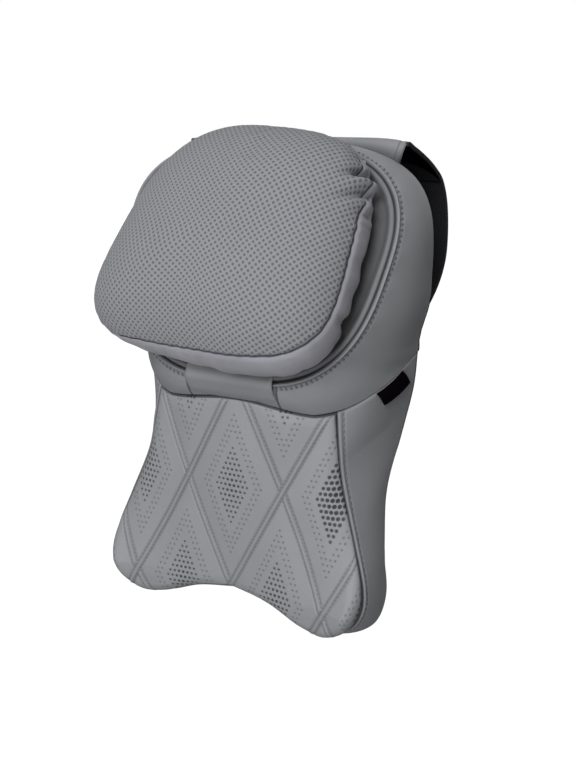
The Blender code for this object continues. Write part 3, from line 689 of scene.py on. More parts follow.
def stitches(name, path, normals, finish, slot, pitch, length, radius, slant):
    """A row of single stitches: six-sided spindles laid along a path, half sunk, one every pitch.

    normals are the surface's along the path, and slant turns each stitch on the surface.
    """
    turn = np.arange(6) * math.pi / 3
    ring = np.stack([np.cos(turn), np.sin(turn)], 1)
    template = np.vstack([[[-0.5, 0, 0]], np.column_stack([np.full(6, -0.28), ring * 0.85]),
                          np.column_stack([np.full(6, 0.28), ring * 0.85]), [[0.5, 0, 0]]])
    shape = [(0, 1 + (k + 1) % 6, 1 + k) for k in range(6)]
    shape += [(1 + k, 1 + (k + 1) % 6, 7 + (k + 1) % 6, 7 + k) for k in range(6)]
    shape += [(13, 7 + k, 7 + (k + 1) % 6) for k in range(6)]
    count = int(total(path) / pitch)
    middles = (np.arange(count) + 0.5) * total(path) / count
    place, up = along(path, middles, normals)
    ahead = unit(along(path, middles + 0.0005) - along(path, middles - 0.0005))
    up = unit(up - ahead * np.sum(up * ahead, 1, keepdims=True))
    side = np.cross(ahead, up)
    ahead, side = (ahead * math.cos(slant) + side * math.sin(slant),
                   side * math.cos(slant) - ahead * math.sin(slant))
    points = (place[:, None] + ahead[:, None] * template[None, :, :1] * length
              + side[:, None] * template[None, :, 1:2] * radius
              + up[:, None] * template[None, :, 2:] * radius)
    faces = [tuple(n * len(template) + k for k in face) for n in range(count) for face in shape]
    mesh = build_mesh(name, points.reshape(-1, 3), faces)
    face_out(mesh)
    add(name, mesh, finish)


def tube(name, path, normals, radii, finish, sides=10, closed=False):
    """An oval strand along a path; radii are its half width along the surface and its half height."""
    ahead = unit(np.roll(path, -1, 0) - np.roll(path, 1, 0)) if closed else unit(np.gradient(path, axis=0))
    up = unit(normals - ahead * np.sum(normals * ahead, 1, keepdims=True))
    side = np.cross(ahead, up)
    turn = np.arange(sides) * 2 * math.pi / sides
    rings = (path[:, None] + side[:, None] * (radii[0] * np.cos(turn))[None, :, None]
             + up[:, None] * (radii[1] * np.sin(turn))[None, :, None])
    last = (len(path) - 1) * sides
    faces = grid_faces(len(path), sides, True).tolist()
    if closed:
        faces += [(last + k, last + (k + 1) % sides, (k + 1) % sides, k) for k in range(sides)]
    else:
        faces += [tuple(range(sides))[::-1], tuple(last + k for k in range(sides))]
    mesh = build_mesh(name, rings.reshape(-1, 3), faces)
    face_out(mesh)
    return add(name, mesh, finish)


def bell(distance, width):
    """A smooth hump, 1 at no distance and about a third at the width."""
    return np.exp(-(distance / width) ** 2)


def profile(table, z):
    """Value of a (height, value) table at z."""
    return np.interp(z, [row[0] for row in table][::-1], [row[1] for row in table][::-1])


# Head block

def superellipse(angle, half, power):
    """Point at a polar angle on a rounded rectangle about the origin."""
    c, s = np.cos(angle), np.sin(angle)
    r = (np.abs(c / half[0]) ** power + np.abs(s / half[1]) ** power) ** (-1 / power)
    return r * c, r * s


def ring_points(angle):
    """The ring seam: a rounded rectangle, wider at its top, in the reclined plane."""
    x, z = superellipse(angle, RING_HALF, np.where(np.sin(angle) < 0, RING_POWERS[1], RING_POWERS[0]))
    x = x * (1 + RING_TAPER * z / RING_HALF[1])
    z = z + RING_CENTRE_Z
    return np.stack([x, RING_Y + RING_RECLINE * z, z], -1)


def seam_points(plan):
    """The seam between head and neck: a rounded rectangle in plan that falls as it comes forward."""
    x, depth = superellipse(plan, SEAM_HALF, SEAM_POWER)
    rise = SEAM_FRONT_RISE * np.maximum(0.0, 1 - (x / SEAM_RISE_HALF_WIDTH) ** 2) * np.sin(plan) ** 2
    flare = SEAM_FLARE * np.maximum(0.0, 1 - depth / SEAM_FLARE_DEPTH) ** 2
    t = np.interp(depth, SEAM_SAG_DEPTHS, (0.0, 1.0))
    z = SEAM_REAR_Z - SEAM_SLOPE * depth - SEAM_SAG * t * t * (3 - 2 * t) + rise
    return np.stack([x + flare * np.sign(x), BACK_Y - depth, z], -1)


def outer_points(angle):
    """The gusset's outer edge: the flat back's outline above, and the neck seam below."""
    a = np.arctan2(np.sin(angle), np.abs(np.cos(angle)))
    low = math.atan2(SEAM_REAR_Z - BACK_CENTRE_Z, SEAM_HALF[0])
    x, z = superellipse(np.interp(a, (REAR_ANGLE, math.pi / 2), (low, math.pi / 2)), BACK_HALF, BACK_POWER)
    z = z + BACK_CENTRE_Z
    above = np.stack([x + profile(REAR_SIDE, z), np.full_like(x, BACK_Y), z], -1)
    plan = np.interp(-a, (-REAR_ANGLE, -CORNER_RING_ANGLE, math.pi / 2), (0.0, CORNER_ANGLE, math.pi / 2))
    points = np.where((a >= REAR_ANGLE)[:, None], above, seam_points(plan))
    points[:, 0] *= np.where(np.cos(angle) < 0, -1, 1)
    return points


def gusset_grid(angles, shares):
    """From the ring seam to the outer edge, swollen along the outward normal by a half sine wave."""
    rings = ring_points(angles)
    span = outer_points(angles) - rings
    length = np.linalg.norm(span, axis=1)[:, None]
    out = unit(np.cross(np.gradient(rings, axis=0), span))
    out *= np.sign(np.sum(out * (rings - [0, -0.05, 0]), 1))[:, None]
    grid = np.array([rings + span * v + out * GUSSET_BULGE * length * math.sin(math.pi * v) for v in shares])
    return grid, length[:, 0]


CLOSED_ANGLES = np.radians(np.linspace(-90, 270, 361))
RING_ANGLES = CLOSED_ANGLES[:-1]
RING_CENTRE = np.array([0, RING_Y + RING_RECLINE * RING_CENTRE_Z, RING_CENTRE_Z])
# Shares of the way from the ring seam to the outer edge, close together near both
SHARES = np.concatenate([
    np.linspace(0, 0.17, 41), np.linspace(0.17, 0.94, 22)[1:], np.linspace(0.94, 1, 10)[1:]])
# Distances from the ring seam
WELT_LINE = 0.0026
GROOVE_LINE = 0.0046
STITCH_LINE = 0.0068
TUCK = 0.0045


def head_side(finish, thread):
    """The block's leather side, its rolled edge at the ring seam, and a dip with the stitches in it."""
    grid, length = gusset_grid(CLOSED_ANGLES, SHARES)
    normals = facing(grid, HEAD_MIDDLE)
    away = SHARES[:, None] * length[None]
    lift = (0.0010 * bell(away - WELT_LINE, 0.0012) - 0.0050 * bell(away, 0.0009)
            - 0.0006 * bell(away - GROOVE_LINE, 0.0007) - 0.0005 * bell(away - STITCH_LINE, 0.0020)
            - 0.0014 * bell(length[None] - away, 0.0012))
    wobble = 0.0004 * np.sin(CLOSED_ANGLES * 31)[None] * bell(away - STITCH_LINE * 1.3, 0.006)
    shaped = grid + normals * (lift + wobble)[..., None]
    tucked = np.vstack([shaped, [shaped[-1] - normals[-1] * TUCK]])
    edge = np.vstack([away, away[-1:] + TUCK])
    side = surface("head_side_leather", tucked[:, :-1], HEAD_MIDDLE, finish,
                   wrap=True, thickness=LEATHER_THICK, edge=edge[:, :-1])
    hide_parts("head_gusset")
    stitches("ring_stitches", *read_at(STITCH_LINE, away, shaped, normals), thread, "grey_leather",
             pitch=0.0048, length=0.0038, radius=0.0012, slant=math.radians(75))


def head_welt(finish):
    """The thin raised welt that runs just outside the ring seam."""
    grid = gusset_grid(CLOSED_ANGLES, np.array([0.0, 0.02, 0.04]))[0]
    normals = facing(grid, HEAD_MIDDLE)[1]
    path = grid[0] + unit(grid[2] - grid[0]) * WELT_LINE + normals * 0.0005
    welt = tube("ring_welt", path[:-1], normals[:-1], (0.0011, 0.0010), finish, closed=True)
    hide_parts("head_piping")


def head_front(finish):
    """The panel inside the ring seam: a low crown that rolls down into the seam at its rim."""
    normal = np.array([0, -1, RING_RECLINE]) / math.hypot(1, RING_RECLINE)
    spokes = ring_points(RING_ANGLES) - RING_CENTRE
    reach = np.linalg.norm(spokes, axis=1)[:, None]
    shares = np.concatenate([np.linspace(0.04, 0.86, 22), np.linspace(0.86, 1.0, 40)[1:]])
    rows = []
    for r in shares:
        rim = (1 - r) * reach
        crown = (PANEL_CROWN * (1 - r ** 2.5) + 0.0016 * bell(rim - 0.0040, 0.0030)
                 - 0.0050 * bell(rim, 0.0009))
        rows.append(RING_CENTRE + spokes * r * (1 - 0.0009 / reach) + normal * crown)
    panel = surface("head_front_leather", np.array(rows), RING_CENTRE - normal * 0.1, finish,
                    wrap=True, pole=RING_CENTRE + normal * PANEL_CROWN, thickness=LEATHER_THICK,
                    edge=(1 - shares[:, None]) * reach[:, 0])
    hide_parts("head_front_panel")


def head_back(finish):
    """The flat cloth back, a little dished towards its stitched rim."""
    rim = outer_points(RING_ANGLES)
    rim[:, 2] = np.where(rim[:, 1] < BACK_Y - 0.0003, SEAM_REAR_Z - 0.0018, rim[:, 2])
    rim[:, 1] = -0.0004
    centre = np.array([0, 0, BACK_CENTRE_Z])
    rows = [centre + (rim - centre) * r + [0, -0.0010 * bell(1 - r, 0.02), 0] for r in
            np.concatenate([np.linspace(0.05, 0.95, 19), [0.97, 0.985, 1.0]])]
    back = surface("head_back_cloth", np.array(rows), HEAD_MIDDLE, finish, wrap=True,
                   pole=centre, thickness=CLOTH_THICK)
    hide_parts("head_back_panel")


# Neck section

def neck_back_y(z):
    return 0.5 * (profile(NECK_BACK_PROFILE, z - 0.008) + profile(NECK_BACK_PROFILE, z + 0.008))


def neck_front_y(x, z):
    """Front of the neck section before quilting: hollow in the middle low down, full at the lobes."""
    return profile(NECK_FRONT_PROFILE, z) + profile(NECK_SIDE_PROFILE, z) * (x / 0.1) ** 2


NECK_STEPS = 14
ROLL_WIDTH = 0.014
STEEPEST_ROLL = 1.2
ROLL_PLACES = 400
# Gap between the seam and the neck's skins, and distances from the side's front edge
SEAM_GAP = 0.0006
NECK_WELT_LINE = 0.0026
NECK_STITCH_LINE = 0.0062


def neck_edges():
    """On the +X side: the front panel's top edge, its side and bottom edge, and the rear edge behind that."""
    top = seam_points(np.linspace(math.pi / 2, CORNER_ANGLE, 60)) - [0, 0, SEAM_GAP]
    front = smooth_path([top[-1], *NECK_FRONT_OUTLINE], NECK_STEPS)
    rear = smooth_path([(SEAM_HALF[0] + SEAM_FLARE, SEAM_REAR_Z - SEAM_GAP), *NECK_REAR_OUTLINE], NECK_STEPS)
    rear = np.stack([rear[:, 0], neck_back_y(rear[:, 1]), rear[:, 1]], -1)
    return top, front, rear


def mirrored(points):
    return points * [-1, 1, 1]


def rim_share(points, rim, chunk=4000):
    """Distance from each point to the rim's nearest point, seen from the front, and that point's index."""
    flat = points[:, [0, 2]]
    edge = rim[:, [0, 2]]
    near, index = [], []
    for k in range(0, len(flat), chunk):
        gap = np.linalg.norm(flat[k:k + chunk, None] - edge[None], axis=2)
        index.append(gap.argmin(1))
        near.append(gap.min(1))
    return np.concatenate(near), np.concatenate(index)


def quilting(x, z):
    """Height of the quilted leather: swollen diamonds, ribs between them, and grooves beside the ribs."""
    down = channel_distance(x, z, 1)
    up = channel_distance(x, z, -1)
    puff = (1 - bell(np.maximum(0, down - CHANNEL_HALF_WIDTH), 0.012)) * (
        1 - bell(np.maximum(0, up - CHANNEL_HALF_WIDTH), 0.012))
    over = 1 / (1 + np.exp(-(up - CHANNEL_HALF_WIDTH) / 0.0004))
    groove = np.maximum(bell(up - CHANNEL_HALF_WIDTH, 0.0012), bell(down - CHANNEL_HALF_WIDTH, 0.0012) * over)
    rib = np.maximum(1 - (up / CHANNEL_HALF_WIDTH) ** 2, (1 - (down / CHANNEL_HALF_WIDTH) ** 2) * over)
    return 0.0024 * puff - 0.0011 * groove + 0.0010 * np.maximum(rib, 0)


def roll_extra(share, steepness):
    """Cloth that the roll at the rim takes up beyond its width, at a share of the way to the rim.

    It is the length of a quarter ellipse's arc less the arc's width, read from tables of sums.
    """
    run = np.linspace(0, 0.999, ROLL_PLACES)
    slopes = run / np.sqrt(1 - run ** 2)
    tables = np.array([np.concatenate([[0], np.cumsum(np.sqrt(1 + (k * slopes[1:]) ** 2) - 1)]) / ROLL_PLACES
                       for k in np.linspace(0, STEEPEST_ROLL, 25)]) * ROLL_WIDTH
    row = np.clip(steepness / STEEPEST_ROLL * 24, 0, 23.999)
    column = np.clip(share / 0.999 * (ROLL_PLACES - 1), 0, ROLL_PLACES - 1.001)
    r, c = row.astype(int), column.astype(int)
    down, across = row - r, column - c
    return ((tables[r, c] * (1 - across) + tables[r, c + 1] * across) * (1 - down)
            + (tables[r + 1, c] * (1 - across) + tables[r + 1, c + 1] * across) * down)


def neck_front(finish):
    """The quilted panel: a surface stretched between its four edges, rolled back to the seam all round."""
    top, front = neck_edges()[:2]
    lobe = LOBE_SPANS * NECK_STEPS
    columns, rows = 231, 181
    upper = spaced(np.vstack([mirrored(top)[::-1], top[1:]]), columns)
    lower = spaced(np.vstack([mirrored(front)[lobe:], front[lobe:-1][::-1]]), columns)
    right = spaced(front[:lobe + 1], rows)
    left = mirrored(right)
    u = np.linspace(0, 1, columns)[None, :, None]
    v = np.linspace(0, 1, rows)[:, None, None]
    grid = ((1 - v) * upper[None] + v * lower[None] + (1 - u) * left[:, None] + u * right[:, None]
            - (1 - u) * (1 - v) * upper[0] - u * (1 - v) * upper[-1]
            - (1 - u) * v * lower[0] - u * v * lower[-1])
    rim = np.vstack([upper, right, lower[::-1], left[::-1]])
    flat = grid.reshape(-1, 3).copy()
    near, index = rim_share(flat, rim)
    share = np.clip(1 - near / ROLL_WIDTH, 0, 1)
    roll = 1 - np.sqrt(np.maximum(0, 1 - share ** 2))
    drop = rim[index, 1] - neck_front_y(rim[index, 0], rim[index, 2])
    extra = roll_extra(share, np.abs(drop) / ROLL_WIDTH)
    course = np.roll(rim, -2, 0) - np.roll(rim, 2, 0)
    outward = unit(np.stack([-course[:, 2], course[:, 0]], -1))
    outward *= np.sign(np.sum(outward * (rim[:, [0, 2]] - [0, NECK_CENTRE_Z])))
    laid = flat[:, [0, 2]] + outward[index] * extra[:, None]
    fade = np.clip(near / 0.010, 0, 1)
    flat[:, 1] = (neck_front_y(flat[:, 0], flat[:, 2]) + drop * roll - quilting(laid[:, 0], laid[:, 1]) * fade
                  + 0.0016 * bell(near, 0.0010))
    outwards = unit(np.stack([flat[:, 0], np.zeros(len(flat)), flat[:, 2] - NECK_CENTRE_Z], -1))
    flat -= outwards * 0.0008 * bell(near, 0.003)[:, None]
    shaped = flat.reshape(grid.shape)
    shaped = np.vstack([[shaped[0] + [0, 0.006, 0.003]], shaped])
    laid = laid.reshape(rows, columns, 2)
    laid = np.vstack([laid[:1], laid]).reshape(-1, 2)
    near = near.reshape(rows, columns)
    panel = surface("neck_front_leather", shaped, (0, 0, NECK_CENTRE_Z), finish,
                    thickness=0.0020, uv=laid, edge=np.vstack([near[:1], near]))
    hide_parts("neck_front_panel")


def neck_side_grid(shares):
    """Front edge to rear edge round the sides and the bottom; the first column follows the side seam."""
    front, rear = neck_edges()[1:]
    fade = np.clip(1 - np.arange(len(front)) / (1.5 * NECK_STEPS), 0, 1)
    rows = []
    for v in shares:
        row = front * (1 - v) + rear * v
        seam = seam_points(np.array([CORNER_ANGLE * (1 - v)]))[0] - [0, 0, SEAM_GAP]
        row = row + (seam - row[0]) * fade[:, None]
        out = row - [0, 0, NECK_CENTRE_Z]
        out[:, 1] = 0
        row = row + unit(out) * 0.003 * math.sin(math.pi * v) * (1 - fade[:, None])
        rows.append(row)
    half = np.array(rows)
    return np.concatenate([half, mirrored(half)[:, ::-1][:, 1:]], 1)


def neck_side(finish, thread):
    """The neck's leather side: a narrow roll along the seam, a stitched dip, then plain to the back."""
    shares = np.concatenate([np.linspace(0, 0.3, 25), np.linspace(0.3, 1, 22)[1:]])
    grid = neck_side_grid(shares)
    normals = facing(grid, NECK_MIDDLE)
    away = column_lengths(grid)
    below = np.array([lengths(row) for row in grid])
    below = np.minimum(below, below[:, -1:] - below)
    lift = (0.0009 * bell(away - NECK_WELT_LINE, 0.0015) - 0.0018 * bell(away, 0.0008)
            - 0.0007 * bell(away - NECK_STITCH_LINE, 0.0012) - 0.0016 * bell(away[-1][None] - away, 0.0020)
            - 0.0006 * bell(below, 0.0010))
    shaped = grid + normals * lift[..., None]
    tucked = np.vstack([shaped[:1] - normals[:1] * 0.005, shaped])
    deep = np.vstack([normals[:1], normals]) * 0.006 - [0, 0, 0.002]
    tucked = np.concatenate([tucked[:, :1] - deep[:, :1], tucked, tucked[:, -1:] - deep[:, -1:]], 1)
    edge = np.vstack([away[:1], away])
    edge = np.concatenate([edge[:, :1], edge, edge[:, -1:]], 1)
    side = surface("neck_side_leather", tucked, NECK_MIDDLE, finish, thickness=LEATHER_THICK,
                   edge=edge)
    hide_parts("neck_gusset")
    stitches("neck_seam_stitches", *read_at(NECK_STITCH_LINE, away, shaped, normals), thread, "grey_leather",
             pitch=0.0054, length=0.0036, radius=0.0008, slant=math.radians(25))


def neck_back(finish):
    """The neck's cloth back, from its rim to its middle."""
    rear = neck_edges()[2]
    upper = np.linspace([0, BACK_Y, rear[0, 2]], [rear[0, 0], BACK_Y, rear[0, 2]], 30)
    half = np.vstack([upper[:-1], rear])
    rim = np.vstack([half, mirrored(half)[::-1][1:-1]])
    rows = []
    for r in np.linspace(0.04, 1, 26):
        x = rim[:, 0] * r * 0.993
        z = NECK_CENTRE_Z + (rim[:, 2] - NECK_CENTRE_Z) * (r if r < 1 else 0.997)
        rows.append(np.stack([x, neck_back_y(z), z], -1))
    back = surface("neck_back_cloth", np.array(rows), (0, -0.1, NECK_CENTRE_Z), finish,
                   wrap=True, pole=(0, neck_back_y(NECK_CENTRE_Z), NECK_CENTRE_Z), thickness=CLOTH_THICK)
    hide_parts("neck_back_panel")


# Soft pillow

def pillow_frame():
    """Turns pillow coordinates (across, up, out of the face) into the object's own."""
    s, c = math.sin(PILLOW_RECLINE), math.cos(PILLOW_RECLINE)
    lean = Matrix(((1, 0, 0), (0, s, -c), (0, c, s))).to_4x4()
    return np.array(Matrix.Translation(PILLOW_CENTRE) @ lean @ Matrix.Rotation(PILLOW_TILT, 4, "Z"))


def into_frame(points):
    turn = pillow_frame()
    return points @ turn[:3, :3].T + turn[:3, 3]


def pillow_outline(angle):
    x, y = superellipse(angle, PILLOW_HALF, PILLOW_POWER)
    middle, spread, share = SOFT_CORNER
    pulled = 1 - share * bell(wrapped(angle, middle), spread)
    x, y = x * pulled, y * pulled
    return x * (1 - PILLOW_TAPER * y / PILLOW_HALF[1]) + PILLOW_SKEW * y, y


def meridian(turn):
    """Share of the outline and depth at a turn: 0 is the front's middle, a quarter turn the girth.

    Both are powers of the turn's sine and cosine, with a depth of its own for front and back.
    """
    height = np.cos(turn)
    depth = np.where(height > 0, PILLOW_FRONT * np.abs(height) ** 0.8, -PILLOW_BACK * np.abs(height) ** 0.6)
    return np.abs(np.sin(turn)) ** 0.78, depth


def disc(cells):
    """A square grid laid on a disc: each point's share of the radius, from 0 to 1, and its polar angle."""
    u, v = np.meshgrid(np.linspace(-1, 1, cells + 1), np.linspace(-1, 1, cells + 1))
    radius = np.maximum(np.abs(u), np.abs(v))
    side = np.abs(u) >= np.abs(v)
    with np.errstate(divide="ignore", invalid="ignore"):
        angle = np.where(side, math.pi / 4 * v / u + np.where(u < 0, math.pi, 0),
                         math.pi / 2 - math.pi / 4 * u / v + np.where(v < 0, math.pi, 0))
    return radius, np.nan_to_num(angle)


CELLS = 76
FINER = 3
# Mean radius of the outline, the cloth's thickness, and the cloth simulation's steps and reach
MEAN_RADIUS = 0.108
PILLOW_CLOTH_THICK = 0.0015
STUFFING_STEPS = 20
STUFFING_CAP = 0.0032


def wrapped(angle, middle):
    """Angle from a middle angle, between minus and plus a half turn."""
    return (angle - middle + math.pi) % (2 * math.pi) - math.pi


def seam_turn(angle):
    """Turn at which the knit meets its border: well in front at the bottom, out of sight at left and top."""
    places, turns = np.array(SEAM_TURNS).T
    marks = [np.interp(np.degrees(wrapped(angle + off, 0)), places, turns) for off in (-0.05, 0.0, 0.05)]
    return np.radians(sum(marks) / 3)


def front_disc(cells):
    """Share of the radius, polar angle, turn, and way over the cloth for each point of the front disc.

    The turns are shifted so that the ring at seam_share runs along the knit's seam.
    """
    fine = np.linspace(0.0, REAR_TURN, 2000)
    share, depth = meridian(fine)
    marks = np.concatenate([[0], np.cumsum(np.hypot(np.diff(share) * MEAN_RADIUS, np.diff(depth)))])
    radius, angle = disc(cells)
    seam_share = round(np.interp(KNIT_TURN, fine, marks) / marks[-1] * CELLS / 2) / (CELLS / 2)
    hat = np.where(radius < seam_share, radius / seam_share, (1 - radius) / (1 - seam_share))
    arc = radius * marks[-1] + (np.interp(seam_turn(angle), fine, marks) - seam_share * marks[-1]) * hat
    return radius, angle, np.interp(arc, marks, fine), arc, seam_share


def pillow_cage():
    """The closed pillow on two discs joined at the rear seam: points, faces, and each point's turn."""
    radius, angle, turn = front_disc(CELLS)[:3]
    back_turn = math.pi - (math.pi - REAR_TURN) * radius
    inner = radius < 1 - 1e-9
    index = np.arange(radius.size).reshape(radius.shape)
    order = index.copy()
    order[inner] = radius.size + np.arange(inner.sum())
    turns = np.concatenate([turn.ravel(), back_turn[inner]])
    angles = np.concatenate([angle.ravel(), angle[inner]])
    shares, depths = meridian(turns)
    x, y = pillow_outline(angles)
    points = np.stack([x * shares, y * shares, depths], -1)
    return points, quads(index), quads(order)[:, [0, 3, 2, 1]], turns


def stuffed(points, faces, held):
    """The pillow's points after cloth simulation with air pressure; held points stay in place."""
    item = link("stuffing", build_mesh("stuffing", points, faces))
    group = item.vertex_groups.new(name="held")
    for k, weight in enumerate(held):
        if weight > 0:
            group.add([k], float(weight), "REPLACE")
    cloth = item.modifiers.new("Stuffing", "CLOTH")
    settings = cloth.settings
    settings.quality = 6
    settings.mass = 0.3
    settings.tension_stiffness = settings.compression_stiffness = 12
    settings.shear_stiffness = 4
    settings.bending_stiffness = 0.3
    settings.use_pressure = True
    settings.uniform_pressure_force = 2.5
    settings.vertex_group_mass = "held"
    settings.effector_weights.gravity = 0
    settings.shrink_min = -0.04
    cloth.point_cache.frame_start = 1
    cloth.point_cache.frame_end = STUFFING_STEPS
    scene = bpy.context.scene
    for step in range(1, STUFFING_STEPS + 1):
        scene.frame_set(step)
    result = item.evaluated_get(bpy.context.evaluated_depsgraph_get()).to_mesh()
    moved = np.empty(len(points) * 3, np.float32)
    result.vertices.foreach_get("co", moved)
    bpy.data.objects.remove(item)
    scene.frame_set(1)
    shift = moved.reshape(-1, 3) - points
    size = np.linalg.norm(shift, axis=1, keepdims=True)
    return points + shift * np.minimum(1, STUFFING_CAP / np.maximum(size, 1e-9))


def finer(grid, steps):
    """A grid of points with steps between each two of its own, on smooth curves in both directions."""
    for axis in (0, 1):
        lines = np.moveaxis(grid, axis, 0)
        lines = smooth_path(lines.reshape(len(lines), -1), steps).reshape(-1, *lines.shape[1:])
        grid = np.moveaxis(lines, 0, axis)
    return grid


def folds(turns, angles, off_seam):
    """How far the cloth is pressed in: named folds, small puckers along the seam, and a wavy border."""
    turn = np.degrees(turns)
    pressed = np.zeros_like(turns)
    for middle, slant, width, depth, inner, outer in FOLDS:
        share = (turn - inner) / (outer - inner)
        rise = np.clip(share / 0.6, 0, 1)
        fall = np.clip((1 - share) / 0.3, 0, 1)
        off = np.degrees(wrapped(angles, np.radians(middle + slant * (share - 0.7))))
        pressed += depth * bell(off, width) * rise ** 2 * (3 - 2 * rise) * fall ** 2 * (3 - 2 * fall)
    corner = bell(wrapped(angles, GATHER_ANGLE), 0.35)
    puckers = np.sin(61 * angles + 2.0 * np.sin(5 * angles)) * bell(off_seam, 0.012)
    waves = np.sin(17 * angles + 1.3 * np.sin(4 * angles)) + 0.6 * np.sin(31 * angles + 1.0)
    border = bell(turn - 96, 14)
    return pressed + (0.0003 + 0.0010 * corner) * puckers + 0.0007 * waves * border


def pillow(knit_finish, suede_finish):
    """Knit face, suede border and suede back, cut from one stuffed form along rings of its grid."""
    points, front, back, turns = pillow_cage()
    held = np.clip((turns - (REAR_TURN - 0.15)) / 0.2, 0, 1)
    shape = points
    shape = stuffed(points * 0.985, np.vstack([front, back]), held)
    arc = front_disc(CELLS)[3]
    side = CELLS + 1
    planar = points[:side * side, :2].reshape(side, side, 2)
    reach = np.linalg.norm(planar, axis=2)
    laid = planar * (0.5 + 0.5 * arc / np.maximum(reach, 1e-6))[..., None]
    grid = finer(np.concatenate([shape[:side * side].reshape(side, side, 3), laid], 2), FINER)
    grid, laid = grid[..., :3], grid[..., 3:]
    radius, angle, turn, arc, seam_share = front_disc(CELLS * FINER)
    off_seam = np.abs(radius - seam_share) * arc.max()
    out = facing(grid, (0, 0, 0))
    grid = grid - out * (folds(turn, angle, off_seam) + 0.0018 * bell(off_seam, 0.0022))[..., None]
    index = np.arange(radius.size).reshape(radius.shape)
    cells = quads(index)
    ring = radius.ravel()[cells].max(1)
    middle = into_frame(np.array([[0, 0, 0.01]]))[0]
    fine, coarse = into_frame(grid.reshape(-1, 3)), into_frame(shape)
    laid, off_seam = laid.reshape(-1, 2), off_seam.ravel()
    pieces = (("pillow_knit_face", fine, cells[ring <= seam_share + 1e-6], knit_finish, "dotted_knit",
               ("pillow_face", "pillow_fill")),
              ("pillow_suede_border", fine, cells[ring > seam_share + 1e-6], suede_finish, "grey_suede",
               ("pillow_border",)),
              ("pillow_suede_back", coarse, back, suede_finish, "grey_suede", ("pillow_back",)))
    for name, places, faces, finish, slot, nodes in pieces:
        used, inverse = np.unique(faces, return_inverse=True)
        near = off_seam[used] if places is fine else np.full(len(used), 1.0)
        flat = laid[used] if places is fine else places[used][:, :2]
        mesh = build_mesh(name, places[used], inverse.reshape(-1, 4), flat, near)
        item = skin(name, mesh, middle, finish, PILLOW_CLOTH_THICK,
                    subdivide=0 if places is fine else 1)
        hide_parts(*nodes)


# Flap, headrest loop and label

def flap(finish):
    """Leather flap from the neck seam over the band and in behind the pillow, its side edges turned down."""
    angles = np.array([0, 0.05]) - math.pi / 2
    side = gusset_grid(angles, np.linspace(0, 1, 24))[0][::-1, 0]
    rim = ring_points(angles)[0]
    inside = [rim + (RING_CENTRE - rim) * t for t in np.linspace(0.04, 0.75, 18)]
    path = spaced(np.vstack([side, inside]) * [0, 1, 1], 60)
    ahead = np.gradient(path, axis=0)
    normal = unit(np.stack([np.zeros(len(path)), -ahead[:, 2], ahead[:, 1]], -1))
    columns = np.linspace(-1, 1, 61)
    edge = np.clip((1 - np.abs(columns)) * FLAP_HALF_WIDTH / 0.004, 0, 1)
    lift = FLAP_EDGE_LIFT + (FLAP_LIFT - FLAP_EDGE_LIFT) * np.sqrt(1 - (1 - edge) ** 2)
    grow = np.linspace(0, 1, len(path))
    over = FLAP_RING_LIFT * bell(lengths(path) - total(side), 0.007)
    width = FLAP_HALF_WIDTH * (1 - 0.03 * np.sin(math.pi * grow))
    rows = []
    for k, c in enumerate(columns):
        row = path + normal * (lift[k] * np.minimum(1, 0.35 + grow * 6) + over)[:, None]
        row[:, 0] = c * width
        rows.append(row)
    piece = surface("pillow_flap_leather", np.array(rows), (0, 0.2, -0.05), finish,
                    thickness=0.0016)
    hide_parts("pillow_flap")


def back_edge_z(x):
    """Height of the block's flat back at x."""
    return BACK_CENTRE_Z + BACK_HALF[1] * (1 - (np.abs(x) / BACK_HALF[0]) ** BACK_POWER) ** (1 / BACK_POWER)


LOOP_STEPS = 8
LOOP_COLUMNS = 81
# Distance of the side hem's stitch line from the hood's edge
HEM_LINE = 0.0065


def loop_line(x):
    """Profile of the loop at x, from the block's top edge over the hood and round to its lower edge."""
    crown = LOOP_CROWN * (1 - (x / LOOP_HALF_WIDTH) ** LOOP_CROWN_POWER)
    edge = back_edge_z(x * HOOD_SPREAD[0])
    start = [(y, edge + z) for y, z in HOOD_ROOT] + [(HOOD_BEND_Y, HOOD_TOP_Z + crown)]
    hood = [(y, z + crown * (1 - k / len(HOOD_PROFILE))) for k, (y, z) in enumerate(HOOD_PROFILE)]
    line = start + hood + list(BAND_PROFILE)
    spread = HOOD_SPREAD + (1.0,) * (len(line) - len(HOOD_SPREAD))
    points = smooth_path([(x * s, y, z) for s, (y, z) in zip(spread, line)], LOOP_STEPS)
    return points, (len(start + hood) - 1) * LOOP_STEPS


